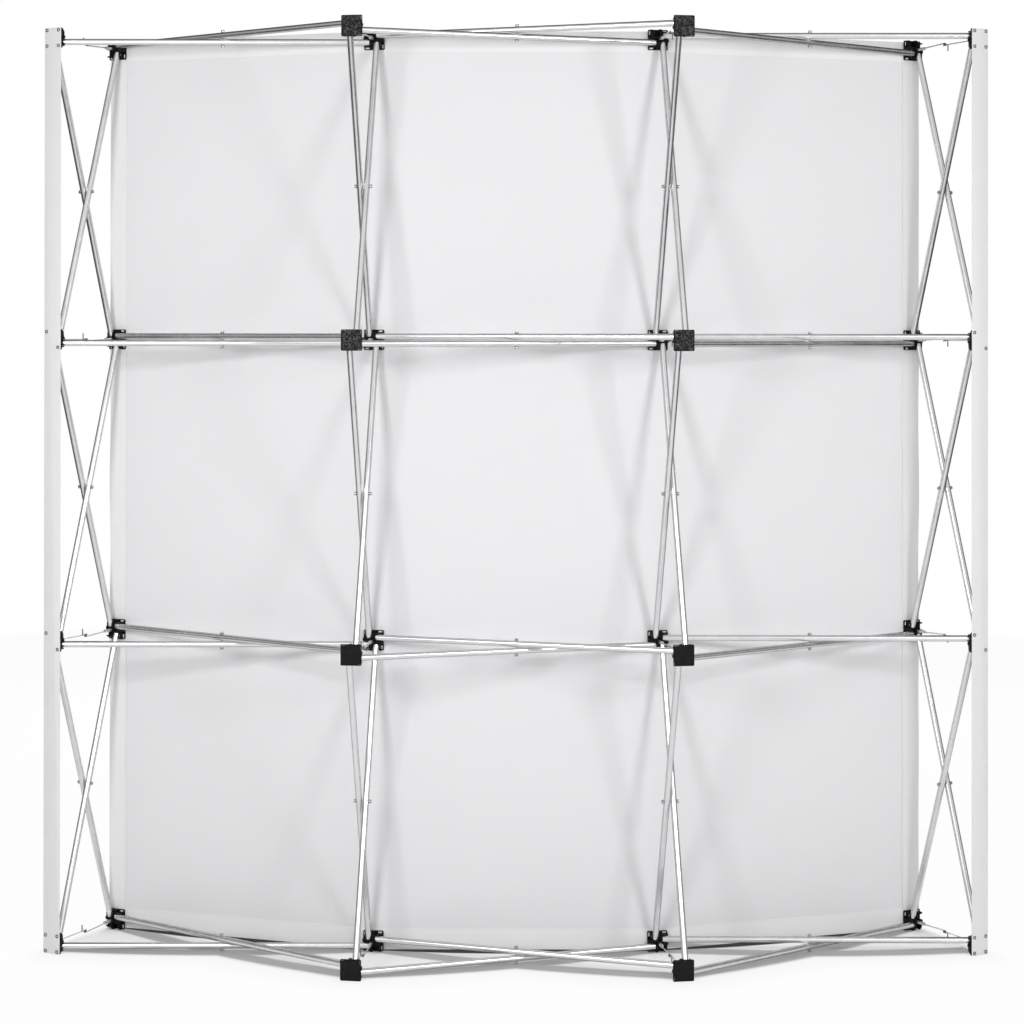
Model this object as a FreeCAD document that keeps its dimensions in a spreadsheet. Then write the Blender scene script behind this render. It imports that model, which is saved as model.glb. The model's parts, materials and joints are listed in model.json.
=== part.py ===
import FreeCAD, Part
import math
import os
import re
from types import SimpleNamespace

# A curved pop-up banner wall: a lattice of black hubs and crossing aluminium tubes, three bays wide and
# three bays high, with a white fabric panel held on its hollow side by hook and loop pads. The rear, bulging
# side faces -Y and the display side faces +Y. Z is up, and the lowest hubs stand on Z = 0.

Vector = FreeCAD.Vector
Placement = FreeCAD.Placement

SIZES = (
    # The lattice
    ("bays_across", 3, "bays side by side"),
    ("bays_up", 3, "bays one above another"),
    ("bay_height", 735, "from hub centre to the hub centre above"),
    ("truss_depth", 235, "between the pivot planes of a rear hub and its front hub"),
    ("bay_turn", 17.7, "angle in plan from one column to the next, in degrees"),
    # The tubes and the rivets at their crossings
    ("tube_radius", 7.5, "outside radius of a tube"),
    ("tube_flats", 12, "flats that stand for the round outside of a tube"),
    ("tube_overhang", 5.5, "from the pin in the hub to the end of the tube"),
    ("crossing_gap", 1.5, "space between crossing tubes"),
    ("rivet_radius", 2, "shank of a crossing rivet"),
    ("rivet_play", 0.1, "clearance round the shank"),
    ("rivet_head_radius", 4.2, "head of a crossing rivet"),
    ("rivet_head_height", 2.4, "height of that head"),
    ("rivet_flats", 6, "flats that stand for the round of a rivet's head"),
    ("shank_flats", 4, "flats that stand for the hidden round of its shank"),
    # The hub
    ("hub_side", 50, "side of the square hub plate"),
    ("hub_corner", 5, "corner cut off the hub plate"),
    ("plate_thickness", 4, "thickness of the hub plate"),
    ("plate_setback", 14, "from the pivot plane out to the hub plate"),
    ("pin_inset", 15, "from the hub centre to a tube's pin"),
    ("slot_play", 0.5, "clearance on each side of a tube in its slot"),
    ("slot_root", 6.5, "from the hub centre to the closed end of a slot"),
    ("wall_reach", 7, "height of a slot wall inside the pivot plane"),
    ("wall_fall", 9, "how far a slot wall falls away to its outer end"),
    ("horn_reach", 4, "height of a horn inside the pivot plane"),
    ("horn_fall", 8, "how far a horn falls away to its outer end"),
    ("horn_thickness", 2.5, "thickness of a horn"),
    ("fork_lip", 3.5, "fork beyond the arm's pin"),
    ("fork_depth", 4.4, "depth of that fork's slot behind the arm's pin"),
    ("arm_pin_inset", 8, "from the pivot plane in to the arm's pin"),
    ("arm_pin_radius", 1.5, "pin of the locking arm"),
    ("pin_flats", 6, "flats that stand for the round of that pin and its hole"),
    # The locking arms
    ("sleeve_side", 6.5, "square sleeve at the root of an arm"),
    ("front_sleeve", 30, "length of the front arm's sleeve"),
    ("rear_sleeve", 9, "length of the rear arm's sleeve"),
    ("sleeve_play", 0.3, "clearance on each side of the sleeve in its fork"),
    ("pin_play", 0.15, "clearance round the arm's pin"),
    ("front_rod_radius", 1.7, "rod of the front arm"),
    ("rear_rod_radius", 1.5, "rod of the rear arm"),
    ("rod_flats", 6, "flats that stand for the round of a rod"),
    ("rod_side_step", 1.9, "how far each rod lies to its side of the arm's plane"),
    ("hook_flats", 6, "flats that stand for the round of the hook"),
    ("hook_radius", 5.5, "outside radius of the front arm's hook"),
    ("hook_wall", 2.2, "wall of that hook"),
    ("hook_play", 0.5, "clearance of the cross pin in the hook's mouth"),
    ("cross_pin_radius", 2, "cross pin of the rear arm"),
    ("cross_pin_reach", 5.2, "cross pin beyond the arm's plane"),
    ("tab_length", 16, "finger tab of the rear arm"),
    ("tab_step", 7.5, "from the finger tab to the cross pin"),
    # Pads, end strips and fabric
    ("pad_side", 49, "side of a rear hook pad, and of the flat of the fabric on an inner hub"),
    ("front_pad_side", 30, "side of a hook pad behind the fabric, clear of the holes in the hub"),
    ("pad_thickness", 2, "thickness of a hook pad"),
    ("strip_width", 48, "width of an end strip"),
    ("strip_thickness", 2, "thickness of an end strip"),
    ("border_width", 50, "width of the loop border on the fabric"),
    ("border_thickness", 1, "thickness of the loop border"),
    ("fabric_thickness", 1, "thickness of the fabric"),
    ("fabric_lift", 4, "fabric edge above the foot of the hubs and below their top"),
)

# Where the arms meet, as a share of the way from the front arm's pin to the rear arm's pin.
HOOK_PLACE_SHARE = 0.51

# The rounded end of a sleeve turns about its pin over this angle, in degrees.
SLEEVE_END_ARC = 36

doc = FreeCAD.newDocument("curved_banner_wall")
sheet = doc.addObject("Spreadsheet::Sheet", "sizes")
for row, (alias, value, meaning) in enumerate(SIZES, start=1):
    sheet.set(f"A{row}", meaning)
    sheet.set(f"B{row}", str(value))
    sheet.setAlias(f"B{row}", alias)
doc.recompute()
size = SimpleNamespace(**{alias: float(sheet.get(alias)) for alias, value, meaning in SIZES})


def cell(expression):
    """The expression with each size named as a cell of the sheet, for setExpression."""
    known = {alias for alias, value, meaning in SIZES}
    return re.sub(r"[a-z_]+", lambda word: f"sizes.{word[0]}" if word[0] in known else word[0], expression)


def bind(thing, **expressions):
    """Ties properties of an object to sizes of the sheet. An underscore stands for a dot."""
    for name, expression in expressions.items():
        thing.setExpression(name.replace("__", "."), cell(expression))


def new_body(name):
    """A body for one master piece."""
    return doc.addObject("PartDesign::Body", name)


def add_box(body, name, corner, lengths, cut=False):
    """A box added to a body or cut from it. Corner and lengths are expressions."""
    kind = "SubtractiveBox" if cut else "AdditiveBox"
    box = body.newObject(f"PartDesign::{kind}", name)
    bind(box, Length=lengths[0], Width=lengths[1], Height=lengths[2])
    bind(box, Placement__Base__x=corner[0], Placement__Base__y=corner[1], Placement__Base__z=corner[2])
    return box


def add_wedge(body, name, across, along_y, near_depth, far_depth):
    """A block added to a body, given by its reach in X and Y, and by its reach in Z at its near and far ends
    in Y. Each reach is a pair of expressions."""
    wedge = body.newObject("PartDesign::AdditiveWedge", name)
    bind(wedge, Xmin=across[0], Xmax=across[1], X2min=across[0], X2max=across[1])
    bind(wedge, Ymin=along_y[0], Ymax=along_y[1])
    bind(wedge, Zmin=near_depth[0], Zmax=near_depth[1], Z2min=far_depth[0], Z2max=far_depth[1])
    return wedge


def add_prism(body, name, start, radius, flats, height, direction=Vector(0, 0, 1), cut=False, inside=False):
    """A many-sided prism along a direction, with a flat towards +Y. Start, radius and height are expressions.
    Its flats touch the round that it stands for, or, with inside, its corners do."""
    kind = "SubtractivePrism" if cut else "AdditivePrism"
    corner_radius = radius if inside else f"({radius}) / cos(180 deg / {flats})"
    prism = body.newObject(f"PartDesign::{kind}", name)
    half_turn = FreeCAD.Rotation(Vector(0, 0, 1), 180.0 / getattr(size, flats) + 90)
    prism.Placement = Placement(Vector(), FreeCAD.Rotation(Vector(0, 0, 1), direction) * half_turn)
    bind(prism, Circumradius=corner_radius, Polygon=flats, Height=height)
    bind(prism, Placement__Base__x=start[0], Placement__Base__y=start[1], Placement__Base__z=start[2])
    return prism


def add_sketch(body, name, role, outline):
    """A sketch of a closed outline on one of the body's origin planes."""
    plane = next(part for part in body.Origin.OriginFeatures if part.Role == role)
    sketch = body.newObject("Sketcher::SketchObject", name)
    sketch.AttachmentSupport = (plane, [""])
    sketch.MapMode = "FlatFace"
    for edge in outline:
        sketch.addGeometry(edge, False)
    return sketch


def closed_lines(points):
    """The straight edges that join the points in turn and close the outline."""
    return [Part.LineSegment(start, end) for start, end in zip(points, points[1:] + points[:1])]


def add_pad(body, name, sketch, length):
    """A pad of a sketch by a length given as an expression."""
    pad = body.newObject("PartDesign::Pad", name)
    pad.Profile = sketch
    bind(pad, Length=length)
    return pad


# Sizes that follow from the lattice. Every tube has the same length from pin to pin, because a bay folds
# flat only if all its tubes are alike, and that length sets the radius on which the columns stand.
half_turn = math.radians(size.bay_turn) / 2
tube_length = math.hypot(size.bay_height - 2 * size.pin_inset, size.truss_depth)
plan_reach = math.sqrt(tube_length ** 2 - (size.truss_depth * math.cos(half_turn)) ** 2)
middle_radius = (plan_reach / 2 + size.pin_inset * math.cos(half_turn)) / math.sin(half_turn)
rear_radius = middle_radius + size.truss_depth / 2
front_radius = middle_radius - size.truss_depth / 2
row_crossing = (
    (rear_radius * math.sin(half_turn) - size.pin_inset * math.cos(half_turn)) / plan_reach * tube_length
)
tube_offset = size.tube_radius + size.crossing_gap / 2
plate_face = size.plate_setback + size.plate_thickness
pad_face = plate_face + size.pad_thickness
border_face = pad_face + size.border_thickness
fabric_face = border_face + size.fabric_thickness
arm_span = size.truss_depth - 2 * size.arm_pin_inset
front_reach = HOOK_PLACE_SHARE * arm_span
rear_reach = arm_span - front_reach
columns = range(int(size.bays_across) + 1)
levels = range(int(size.bays_up) + 1)
outer_columns = (columns[0], columns[-1])


def column_angle(column):
    """The angle in plan of a column, or of a place between two columns, from the middle of the wall."""
    return 2 * half_turn * (column - size.bays_across / 2)


def outward(column):
    """From the centre of the curve out to a column."""
    return Vector(math.sin(column_angle(column)), -math.cos(column_angle(column)), 0)


def along(column):
    """Along the wall at a column, towards +X."""
    return Vector(math.cos(column_angle(column)), math.sin(column_angle(column)), 0)


# The centre of the curve lies on the Y axis, where it centres the wall front to back on the origin.
rear_extent = (rear_radius + pad_face) * math.cos(column_angle(columns[1])) + (
    size.pad_side / 2 * abs(math.sin(column_angle(columns[1])))
)
front_extent = (front_radius - fabric_face) * math.cos(column_angle(columns[0])) - (
    size.border_width / 2 * abs(math.sin(column_angle(columns[0])))
)
curve_centre = Vector(0, (rear_extent + front_extent) / 2, 0)
UP = Vector(0, 0, 1)


def at(column, radius, height=0.0, sideways=0.0):
    """A place on a column at a radius and a height, moved along the wall by sideways."""
    return curve_centre + outward(column) * radius + UP * height + along(column) * sideways


def level_height(level):
    """The height of the hub centres of a level, or of a place between two levels."""
    return size.hub_side / 2 + level * size.bay_height


def facing(origin, forward, side):
    """A placement at origin that turns +Z to forward and +Y to side."""
    return Placement(origin, FreeCAD.Rotation(Vector(), side, forward, "ZYX"))


def hub_place(column, level, rear):
    """The placement of a hub, with its inner side towards the middle of the truss."""
    radius = rear_radius if rear else front_radius
    forward = outward(column) * (-1 if rear else 1)
    return facing(at(column, radius, level_height(level)), forward, UP)


def copies(node, master, places):
    """One node that holds a copy of the master piece at each of the places."""
    links = []
    for number, place in enumerate(places, start=1):
        link = doc.addObject("App::Link", f"{node}_copy_{number}")
        link.setLink(master)
        link.Placement = place
        links.append(link)
    group = doc.addObject("Part::Compound", node)
    group.Label = node
    group.Links = links
    return group


def make_hub():
    """One moulded hub, the same at the front and at the rear. Its inner side faces +Z and its pivot plane is
    Z = 0. Four slots in a pinwheel hold the tube ends, and a fork at the centre holds the locking arm."""
    body = new_body("hub")
    far = size.hub_side / 2
    near = far - size.hub_corner
    outline = add_sketch(body, "hub_plate_outline", "XY_Plane", closed_lines([
        Vector(x, y, 0)
        for x, y in ((far, near), (near, far), (-near, far), (-far, near),
                     (-far, -near), (-near, -far), (near, -far), (far, -near))
    ]))
    bind(outline, AttachmentOffset__Base__z="0 - plate_setback - plate_thickness")
    add_pad(body, "hub_plate", outline, "plate_thickness")
    add_box(
        body, "hub_core",
        ("0 - slot_root", "0 - slot_root", "0 - plate_setback"),
        ("2 * slot_root", "2 * slot_root", "plate_setback + arm_pin_inset + fork_lip"),
    )
    # The wall on one side of a slot and the horn on its other side. Both fall away to the hub's edge.
    slot_edge = "( slot_play - crossing_gap / 2 )"
    slot_top = "( 2 * tube_radius + crossing_gap / 2 + slot_play )"
    length = ("slot_root", "hub_side / 2")
    wall = add_wedge(
        body, "slot_wall", (slot_edge, "slot_root"), length,
        ("0 - plate_setback", "wall_reach"), ("0 - plate_setback", "wall_reach - wall_fall"),
    )
    horn = add_wedge(
        body, "horn", (f"0 - {slot_top} - horn_thickness", f"0 - {slot_top}"), length,
        ("0 - plate_setback", "horn_reach"), ("0 - plate_setback", "horn_reach - horn_fall"),
    )
    around = body.newObject("PartDesign::PolarPattern", "four_horns")
    around.Originals = [wall, horn]
    around.Axis = (next(part for part in body.Origin.OriginFeatures if part.Role == "Z_Axis"), [""])
    around.Angle = 360
    around.Occurrences = 4
    body.Tip = around
    sleeve_room = "( sleeve_side / 2 + sleeve_play )"
    add_box(
        body, "fork_slot",
        (f"0 - {sleeve_room}", "0 - slot_root", "arm_pin_inset - fork_depth"),
        (f"2 * {sleeve_room}", "2 * slot_root", "hub_side"),
        cut=True,
    )
    add_prism(
        body, "arm_pin", ("0 - slot_root", "0", "arm_pin_inset"),
        "arm_pin_radius", "pin_flats", "2 * slot_root", direction=Vector(1, 0, 0), inside=True,
    )
    return body


def make_tube(name, crossing):
    """A tube from its rear pin at the origin to its front pin on +Z, with a hole along Y for the crossing
    rivet. Crossing is the distance from the rear pin to that hole."""
    body = new_body(name)
    length = f"{tube_length} + 2 * tube_overhang"
    foot = ("0", "0", "0 - tube_overhang")
    add_prism(body, f"{name}_outside", foot, "tube_radius", "tube_flats", length)
    add_prism(
        body, f"{name}_rivet_hole", ("0", "0 - 2 * tube_radius", str(crossing)),
        "rivet_radius + rivet_play", "shank_flats", "4 * tube_radius", direction=Vector(0, 1, 0), cut=True,
    )
    return body


def make_rivet():
    """A rivet along +Z through two crossing tubes, with a head at each end."""
    body = new_body("rivet")
    grip = "( 2 * tube_radius + crossing_gap / 2 )"
    add_prism(
        body, "rivet_shank", ("0", "0", f"0 - {grip}"), "rivet_radius", "shank_flats", f"2 * {grip}",
        inside=True,
    )
    add_prism(
        body, "rivet_foot", ("0", "0", f"0 - {grip} - rivet_head_height"),
        "rivet_head_radius", "rivet_flats", "rivet_head_height",
    )
    add_prism(
        body, "rivet_head", ("0", "0", grip), "rivet_head_radius", "rivet_flats", "rivet_head_height",
    )
    return body


def add_sleeve(body, name, length):
    """The square sleeve of a locking arm along +X, with a rounded end about the pin at the origin."""
    radius = size.sleeve_side / 2
    half_arc = math.radians(SLEEVE_END_ARC) / 2
    round_end = Part.ArcOfCircle(Part.Circle(Vector(), UP, radius), math.pi - half_arc, math.pi + half_arc)
    corner = -radius * math.tan(math.pi / 4 - half_arc / 2)
    points = [round_end.EndPoint, Vector(corner, -radius, 0), Vector(length, -radius, 0),
              Vector(length, radius, 0), Vector(corner, radius, 0), round_end.StartPoint]
    lines = [Part.LineSegment(start, end) for start, end in zip(points, points[1:])]
    outline = add_sketch(body, f"{name}_outline", "XZ_Plane", [round_end] + lines)
    bind(outline, AttachmentOffset__Base__z="0 - sleeve_side / 2")
    add_pad(body, name, outline, "sleeve_side")


def add_pin_hole(body, name):
    """The hole for the hub's arm pin, along Y through the origin."""
    add_prism(
        body, name, ("0", "0 - sleeve_side", "0"), "arm_pin_radius + pin_play", "pin_flats",
        "2 * sleeve_side", direction=Vector(0, 1, 0), cut=True,
    )


def make_front_arm():
    """The front locking arm along +X from its pin. Its rod ends in a hook that is open below."""
    body = new_body("front_arm")
    add_sleeve(body, "front_arm_sleeve", size.front_sleeve)
    side = "0 - rod_side_step"
    start = Vector(size.front_sleeve - size.sleeve_side, 0, 0)
    end = Vector(front_reach, 0, size.hook_radius - size.front_rod_radius)
    add_prism(
        body, "front_rod", (str(start.x), side, "0"), "front_rod_radius", "rod_flats",
        str((end - start).Length), direction=end - start,
    )
    add_prism(
        body, "hook", (str(front_reach), f"{side} - front_rod_radius", "0"), "hook_radius", "hook_flats",
        "2 * front_rod_radius", direction=Vector(0, 1, 0),
    )
    add_prism(
        body, "hook_eye", (str(front_reach), f"{side} - hook_radius", "0"), "hook_radius - hook_wall",
        "hook_flats", "2 * hook_radius", direction=Vector(0, 1, 0), cut=True,
    )
    mouth = "( cross_pin_radius + hook_play )"
    add_box(
        body, "hook_mouth",
        (f"{front_reach} - {mouth}", f"{side} - hook_radius", "0 - 2 * hook_radius"),
        (f"2 * {mouth}", "2 * hook_radius", "2 * hook_radius"),
        cut=True,
    )
    add_pin_hole(body, "front_arm_eye")
    return body


def make_rear_arm():
    """The rear locking arm along +X from its pin. Its rod carries the finger tab and ends in the cross pin
    that the front arm's hook holds."""
    body = new_body("rear_arm")
    add_sleeve(body, "rear_arm_sleeve", size.rear_sleeve)
    side = "0 - rod_side_step"
    add_prism(
        body, "rear_rod", ("rear_sleeve - rear_rod_radius", side, "0"), "rear_rod_radius", "rod_flats",
        f"{rear_reach} - rear_sleeve + rear_rod_radius", direction=Vector(1, 0, 0),
    )
    add_prism(
        body, "cross_pin", (str(rear_reach), f"{side} - rear_rod_radius", "0"), "cross_pin_radius",
        "rod_flats", "rod_side_step + rear_rod_radius + cross_pin_reach", direction=Vector(0, 1, 0),
        inside=True,
    )
    add_prism(
        body, "finger_tab", (f"{rear_reach} - tab_step", side, "0"), "rear_rod_radius", "rod_flats",
        "tab_length", direction=Vector(0, 0, -1),
    )
    add_pin_hole(body, "rear_arm_eye")
    return body


def make_pad(name, side):
    """A square hook pad on the outer face of a hub, in the hub's own frame. Side is an expression."""
    body = new_body(name)
    add_box(
        body, f"{name}_block",
        (f"0 - {side} / 2", f"0 - {side} / 2", "0 - plate_setback - plate_thickness - pad_thickness"),
        (side, side, "pad_thickness"),
    )
    return body


def make_patch():
    """A square loop patch on the back of the fabric, in the frame of the hub that it holds to."""
    body = new_body("patch")
    add_box(
        body, "patch_block",
        ("0 - border_width / 2", "0 - border_width / 2",
         "0 - plate_setback - plate_thickness - pad_thickness - border_thickness"),
        ("border_width", "border_width", "border_thickness"),
    )
    return body


def band_outline(near_face, far_face):
    """The plan of a layer that lies flat on the pad of each front hub and runs straight between them."""
    sides = []
    for face in (near_face, far_face):
        line = []
        for column in columns:
            width = size.border_width if column in outer_columns else size.pad_side
            line.append(at(column, front_radius - face, 0, -width / 2))
            line.append(at(column, front_radius - face, 0, width / 2))
        sides.append(line)
    return closed_lines(sides[0] + sides[1][::-1])


def window_outline(near_face, far_face):
    """The plan of the space between the upright parts of the loop border, clear of its thickness."""
    sides = []
    for face in (2 * near_face - far_face, 2 * far_face - near_face):
        line = [at(columns[0], front_radius - face, 0, size.border_width / 2)]
        for column in columns[1:-1]:
            line.append(at(column, front_radius - face, 0, -size.pad_side / 2))
            line.append(at(column, front_radius - face, 0, size.pad_side / 2))
        line.append(at(columns[-1], front_radius - face, 0, -size.border_width / 2))
        sides.append(line)
    return closed_lines(sides[0] + sides[1][::-1])


def make_fabric():
    """The white fabric panel, stretched over the pads of the front hubs."""
    body = new_body("fabric_panel")
    outline = add_sketch(body, "fabric_plan", "XY_Plane", band_outline(border_face, fabric_face))
    bind(outline, AttachmentOffset__Base__z="fabric_lift")
    add_pad(body, "fabric_sheet", outline, "bays_up * bay_height + hub_side - 2 * fabric_lift")
    return body


def make_border():
    """The loop border sewn round the back of the fabric."""
    body = new_body("border_frame")
    outline = add_sketch(body, "border_plan", "XY_Plane", band_outline(pad_face, border_face))
    bind(outline, AttachmentOffset__Base__z="fabric_lift")
    add_pad(body, "border_sheet", outline, "bays_up * bay_height + hub_side - 2 * fabric_lift")
    opening = add_sketch(body, "border_window_plan", "XY_Plane", window_outline(pad_face, border_face))
    bind(opening, AttachmentOffset__Base__z="fabric_lift + border_width")
    window = body.newObject("PartDesign::Pocket", "border_window")
    window.Profile = opening
    window.Reversed = True
    bind(window, Length="bays_up * bay_height + hub_side - 2 * fabric_lift - 2 * border_width")
    return body


def make_strip():
    """A flat end strip on the plates of an outer rear column, in the frame of the column's lowest hub."""
    body = new_body("strip")
    add_box(
        body, "strip_block",
        ("0 - strip_width / 2", "0 - hub_side / 2",
         "0 - plate_setback - plate_thickness - strip_thickness"),
        ("strip_width", "bays_up * bay_height + hub_side", "strip_thickness"),
    )
    return body


def tube_place(start, end, hole):
    """The placement of a tube from its rear pin to its front pin, with its rivet hole along hole."""
    return facing(start, end - start, hole)


def column_tube_places(column):
    """The two crossing tubes of each bay of a column, which lie in its upright plane."""
    places = []
    for level in levels[:-1]:
        low = level_height(level) + size.pin_inset
        high = level_height(level + 1) - size.pin_inset
        rising = (at(column, rear_radius, low, tube_offset), at(column, front_radius, high, tube_offset))
        falling = (at(column, rear_radius, high, -tube_offset), at(column, front_radius, low, -tube_offset))
        places += [tube_place(*ends, along(column)) for ends in (rising, falling)]
    return places


def row_tube_places(level):
    """The two crossing tubes of each bay of a level, which lie flat, one above the other."""
    places = []
    for column in columns[:-1]:
        low = level_height(level) - tube_offset
        high = level_height(level) + tube_offset
        inset = size.pin_inset
        places.append(tube_place(
            at(column, rear_radius, low, inset), at(column + 1, front_radius, low, -inset), UP
        ))
        places.append(tube_place(
            at(column + 1, rear_radius, high, -inset), at(column, front_radius, high, inset), UP
        ))
    return places


def row_rivet_places(level):
    """The rivets where the tubes of a level cross, midway between two columns."""
    places = []
    for place in row_tube_places(level)[::2]:
        crossing = place.multVec(Vector(0, 0, row_crossing))
        places.append(facing(Vector(crossing.x, crossing.y, level_height(level)), UP, Vector(0, 1, 0)))
    return places


def arm_place(column, level, rear):
    """The placement of a locking arm. On the left half of the wall the arms are turned over, so that their
    hooks open upwards."""
    turned_over = column < size.bays_across / 2
    radius = rear_radius - size.arm_pin_inset if rear else front_radius + size.arm_pin_inset
    forward = outward(column) * (-1 if rear else 1)
    up = UP * (-1 if turned_over else 1)
    return Placement(
        at(column, radius, level_height(level)),
        FreeCAD.Rotation(forward, Vector(), up, "ZXY"),
    )


hub = make_hub()
row_tube = make_tube("row_tube", row_crossing)
column_tube = make_tube("column_tube", tube_length / 2)
rivet = make_rivet()
front_arm = make_front_arm()
rear_arm = make_rear_arm()
front_pad = make_pad("front_pad", "front_pad_side")
rear_pad = make_pad("rear_pad", "pad_side")
patch = make_patch()
strip = make_strip()
doc.recompute()

nodes = []
for column in columns:
    rear_hubs = [hub_place(column, level, rear=True) for level in levels]
    front_hubs = [hub_place(column, level, rear=False) for level in levels]
    nodes.append(copies(f"rear_hubs_column_{column + 1}", hub, rear_hubs))
    nodes.append(copies(f"front_hubs_column_{column + 1}", hub, front_hubs))
    nodes.append(copies(f"column_tubes_{column + 1}", column_tube, column_tube_places(column)))
for level in levels:
    nodes.append(copies(f"row_tubes_{level + 1}", row_tube, row_tube_places(level)))
nodes.append(copies("row_rivets", rivet, [
    place for level in levels for place in row_rivet_places(level)
]))
nodes.append(copies("column_rivets", rivet, [
    facing(at(column, middle_radius, level_height(level + 1 / 2)), along(column), UP)
    for column in columns for level in levels[:-1]
]))
for column in columns:
    for level in levels:
        name = f"column_{column + 1}_level_{level + 1}"
        nodes.append(copies(f"rear_arm_{name}", rear_arm, [arm_place(column, level, rear=True)]))
        nodes.append(copies(f"front_arm_{name}", front_arm, [arm_place(column, level, rear=False)]))
nodes.append(copies("front_pads", front_pad, [
    hub_place(column, level, rear=False) for column in columns for level in levels
]))
nodes.append(copies("rear_pads", rear_pad, [
    hub_place(column, level, rear=True) for column in columns[1:-1] for level in levels
]))
nodes.append(copies("left_end_strip", strip, [hub_place(columns[0], levels[0], rear=True)]))
nodes.append(copies("right_end_strip", strip, [hub_place(columns[-1], levels[0], rear=True)]))
fabric = make_fabric()
nodes.append(fabric)
border_frame = make_border()
nodes.append(copies("loop_border", border_frame, [Placement()]))
patches = copies("loop_patches", patch, [
    hub_place(column, level, rear=False) for column in columns[1:-1] for level in levels[1:-1]
])
nodes.append(patches)
doc.recompute()

for thing in doc.Objects:
    if "Invalid" in thing.State or "Error" in thing.State:
        raise RuntimeError(f"{thing.Name} could not be computed: {thing.State}")
for node in nodes:
    if node.Shape.isNull() or not node.Shape.isValid() or not node.Shape.Solids:
        raise RuntimeError(f"{node.Label} has no valid solid")

os.makedirs("parts", exist_ok=True)
for node in nodes:
    node.Shape.exportStep(os.path.join("parts", f"{node.Label}.step"))
    print(f"{node.Label}: {len(node.Shape.Solids)} solids, {node.Shape.Volume / 1000:.1f} cm3")
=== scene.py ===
"""Visual model of a curved banner wall: crossed tubes, moulded hubs and a stretched panel."""

import json
import logging
import math
from collections.abc import Callable, Iterable, Iterator, Sequence
from contextlib import contextmanager
from dataclasses import dataclass
from enum import Enum
from itertools import product

import bpy
from mathutils import Matrix, Vector


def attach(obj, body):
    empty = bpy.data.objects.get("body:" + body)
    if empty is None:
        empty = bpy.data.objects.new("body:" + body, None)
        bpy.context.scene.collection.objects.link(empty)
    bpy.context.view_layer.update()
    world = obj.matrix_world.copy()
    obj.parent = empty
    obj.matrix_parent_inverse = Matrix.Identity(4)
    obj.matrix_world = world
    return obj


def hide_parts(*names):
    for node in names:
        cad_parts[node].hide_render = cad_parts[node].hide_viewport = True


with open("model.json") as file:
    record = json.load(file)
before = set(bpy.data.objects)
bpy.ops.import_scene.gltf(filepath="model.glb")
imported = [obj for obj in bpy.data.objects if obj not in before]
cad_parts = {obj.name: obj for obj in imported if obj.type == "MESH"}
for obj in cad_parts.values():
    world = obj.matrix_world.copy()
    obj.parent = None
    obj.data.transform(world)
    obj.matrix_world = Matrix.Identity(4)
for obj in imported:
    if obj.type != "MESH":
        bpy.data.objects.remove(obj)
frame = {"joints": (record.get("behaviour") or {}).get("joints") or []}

LOG = logging.getLogger("banner_wall")
WALL = "wall"
X, Y, UP = Vector((1.0, 0.0, 0.0)), Vector((0.0, 1.0, 0.0)), Vector((0.0, 0.0, 1.0))
QUARTERS = [Matrix.Rotation(turn * math.pi / 2, 4, "Z") for turn in range(4)]
TINY = 1e-6
ALONG = 0.99  # the least dot product of a face's normal with the direction that it looks along
FULL_ROUND = 0.98  # of half a side: the widest round that leaves the side a face
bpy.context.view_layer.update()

Piece = bpy.types.Object
Socket = bpy.types.NodeSocket
Pair = tuple[float, float]
Triple = tuple[float, float, float]
Values = dict[str, object]


class Side(Enum):
    """The two planes of hubs. The panel hangs on the front plane."""

    REAR = "rear"
    FRONT = "front"

    @property
    def way(self) -> int:
        """One at the front and minus one at the rear, because their hubs face each other."""
        return 1 if self is Side.FRONT else -1


class Cut(Enum):
    """What one solid does to another."""

    JOIN = "UNION"
    REMOVE = "DIFFERENCE"


class Element(Enum):
    """The parts of a mesh that edit mode selects: its mode, and the mesh's list of them."""

    VERTEX = "VERT", "vertices"
    EDGE = "EDGE", "edges"
    FACE = "FACE", "polygons"


@dataclass(frozen=True)
class Round:
    """A rounding: its width, the faces across it, and the degrees that an edge turns at least."""

    width: float
    segments: int = 2
    angle: float = 40.0


@dataclass(frozen=True)
class Coat:
    """A made material and the record's slot that it belongs to."""

    material: bpy.types.Material
    slot: str


# ---- the bench: modelling steps


def pick(piece: Piece) -> None:
    """Makes one piece the selected and active one.

    Args:
        piece: The piece to work on.
    """
    bpy.ops.object.select_all(action="DESELECT")
    piece.select_set(True)
    bpy.context.view_layer.objects.active = piece


def discard(*pieces: Piece) -> None:
    """Deletes pieces that were only tools or masters."""
    for piece in pieces:
        bpy.data.objects.remove(piece)


def add(primitive: Callable[..., object], **settings: object) -> Piece:
    """Adds a primitive, with its place, turn and scale in its mesh.

    Args:
        primitive: The operator that adds it.
        settings: The operator's settings.

    Returns:
        The new piece.
    """
    primitive(**settings)
    bpy.ops.object.transform_apply(location=True, rotation=True, scale=True)
    return bpy.context.object


def block(low: Sequence[float], high: Sequence[float]) -> Piece:
    """A block between its lowest and its highest corner."""
    centre, reach = zip(*(((a + b) / 2, b - a) for a, b in zip(low, high)))
    return add(bpy.ops.mesh.primitive_cube_add, size=1.0, location=centre, scale=reach)


def rod(
    start: Vector, end: Vector, radius: float, sides: int, capped: bool = True
) -> Piece:
    """A round rod between two points, with its UV map round and along it.

    Args:
        start: Centre of the first end.
        end: Centre of the last end.
        radius: Its radius.
        sides: Faces round it.
        capped: Whether its ends are closed.

    Returns:
        The new rod.
    """
    run = end - start
    return add(
        bpy.ops.mesh.primitive_cylinder_add, vertices=sides, radius=radius, depth=run.length,
        end_fill_type="NGON" if capped else "NOTHING", location=(start + end) / 2,
        rotation=run.to_track_quat("Z", "Y").to_euler(),
    )


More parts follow.
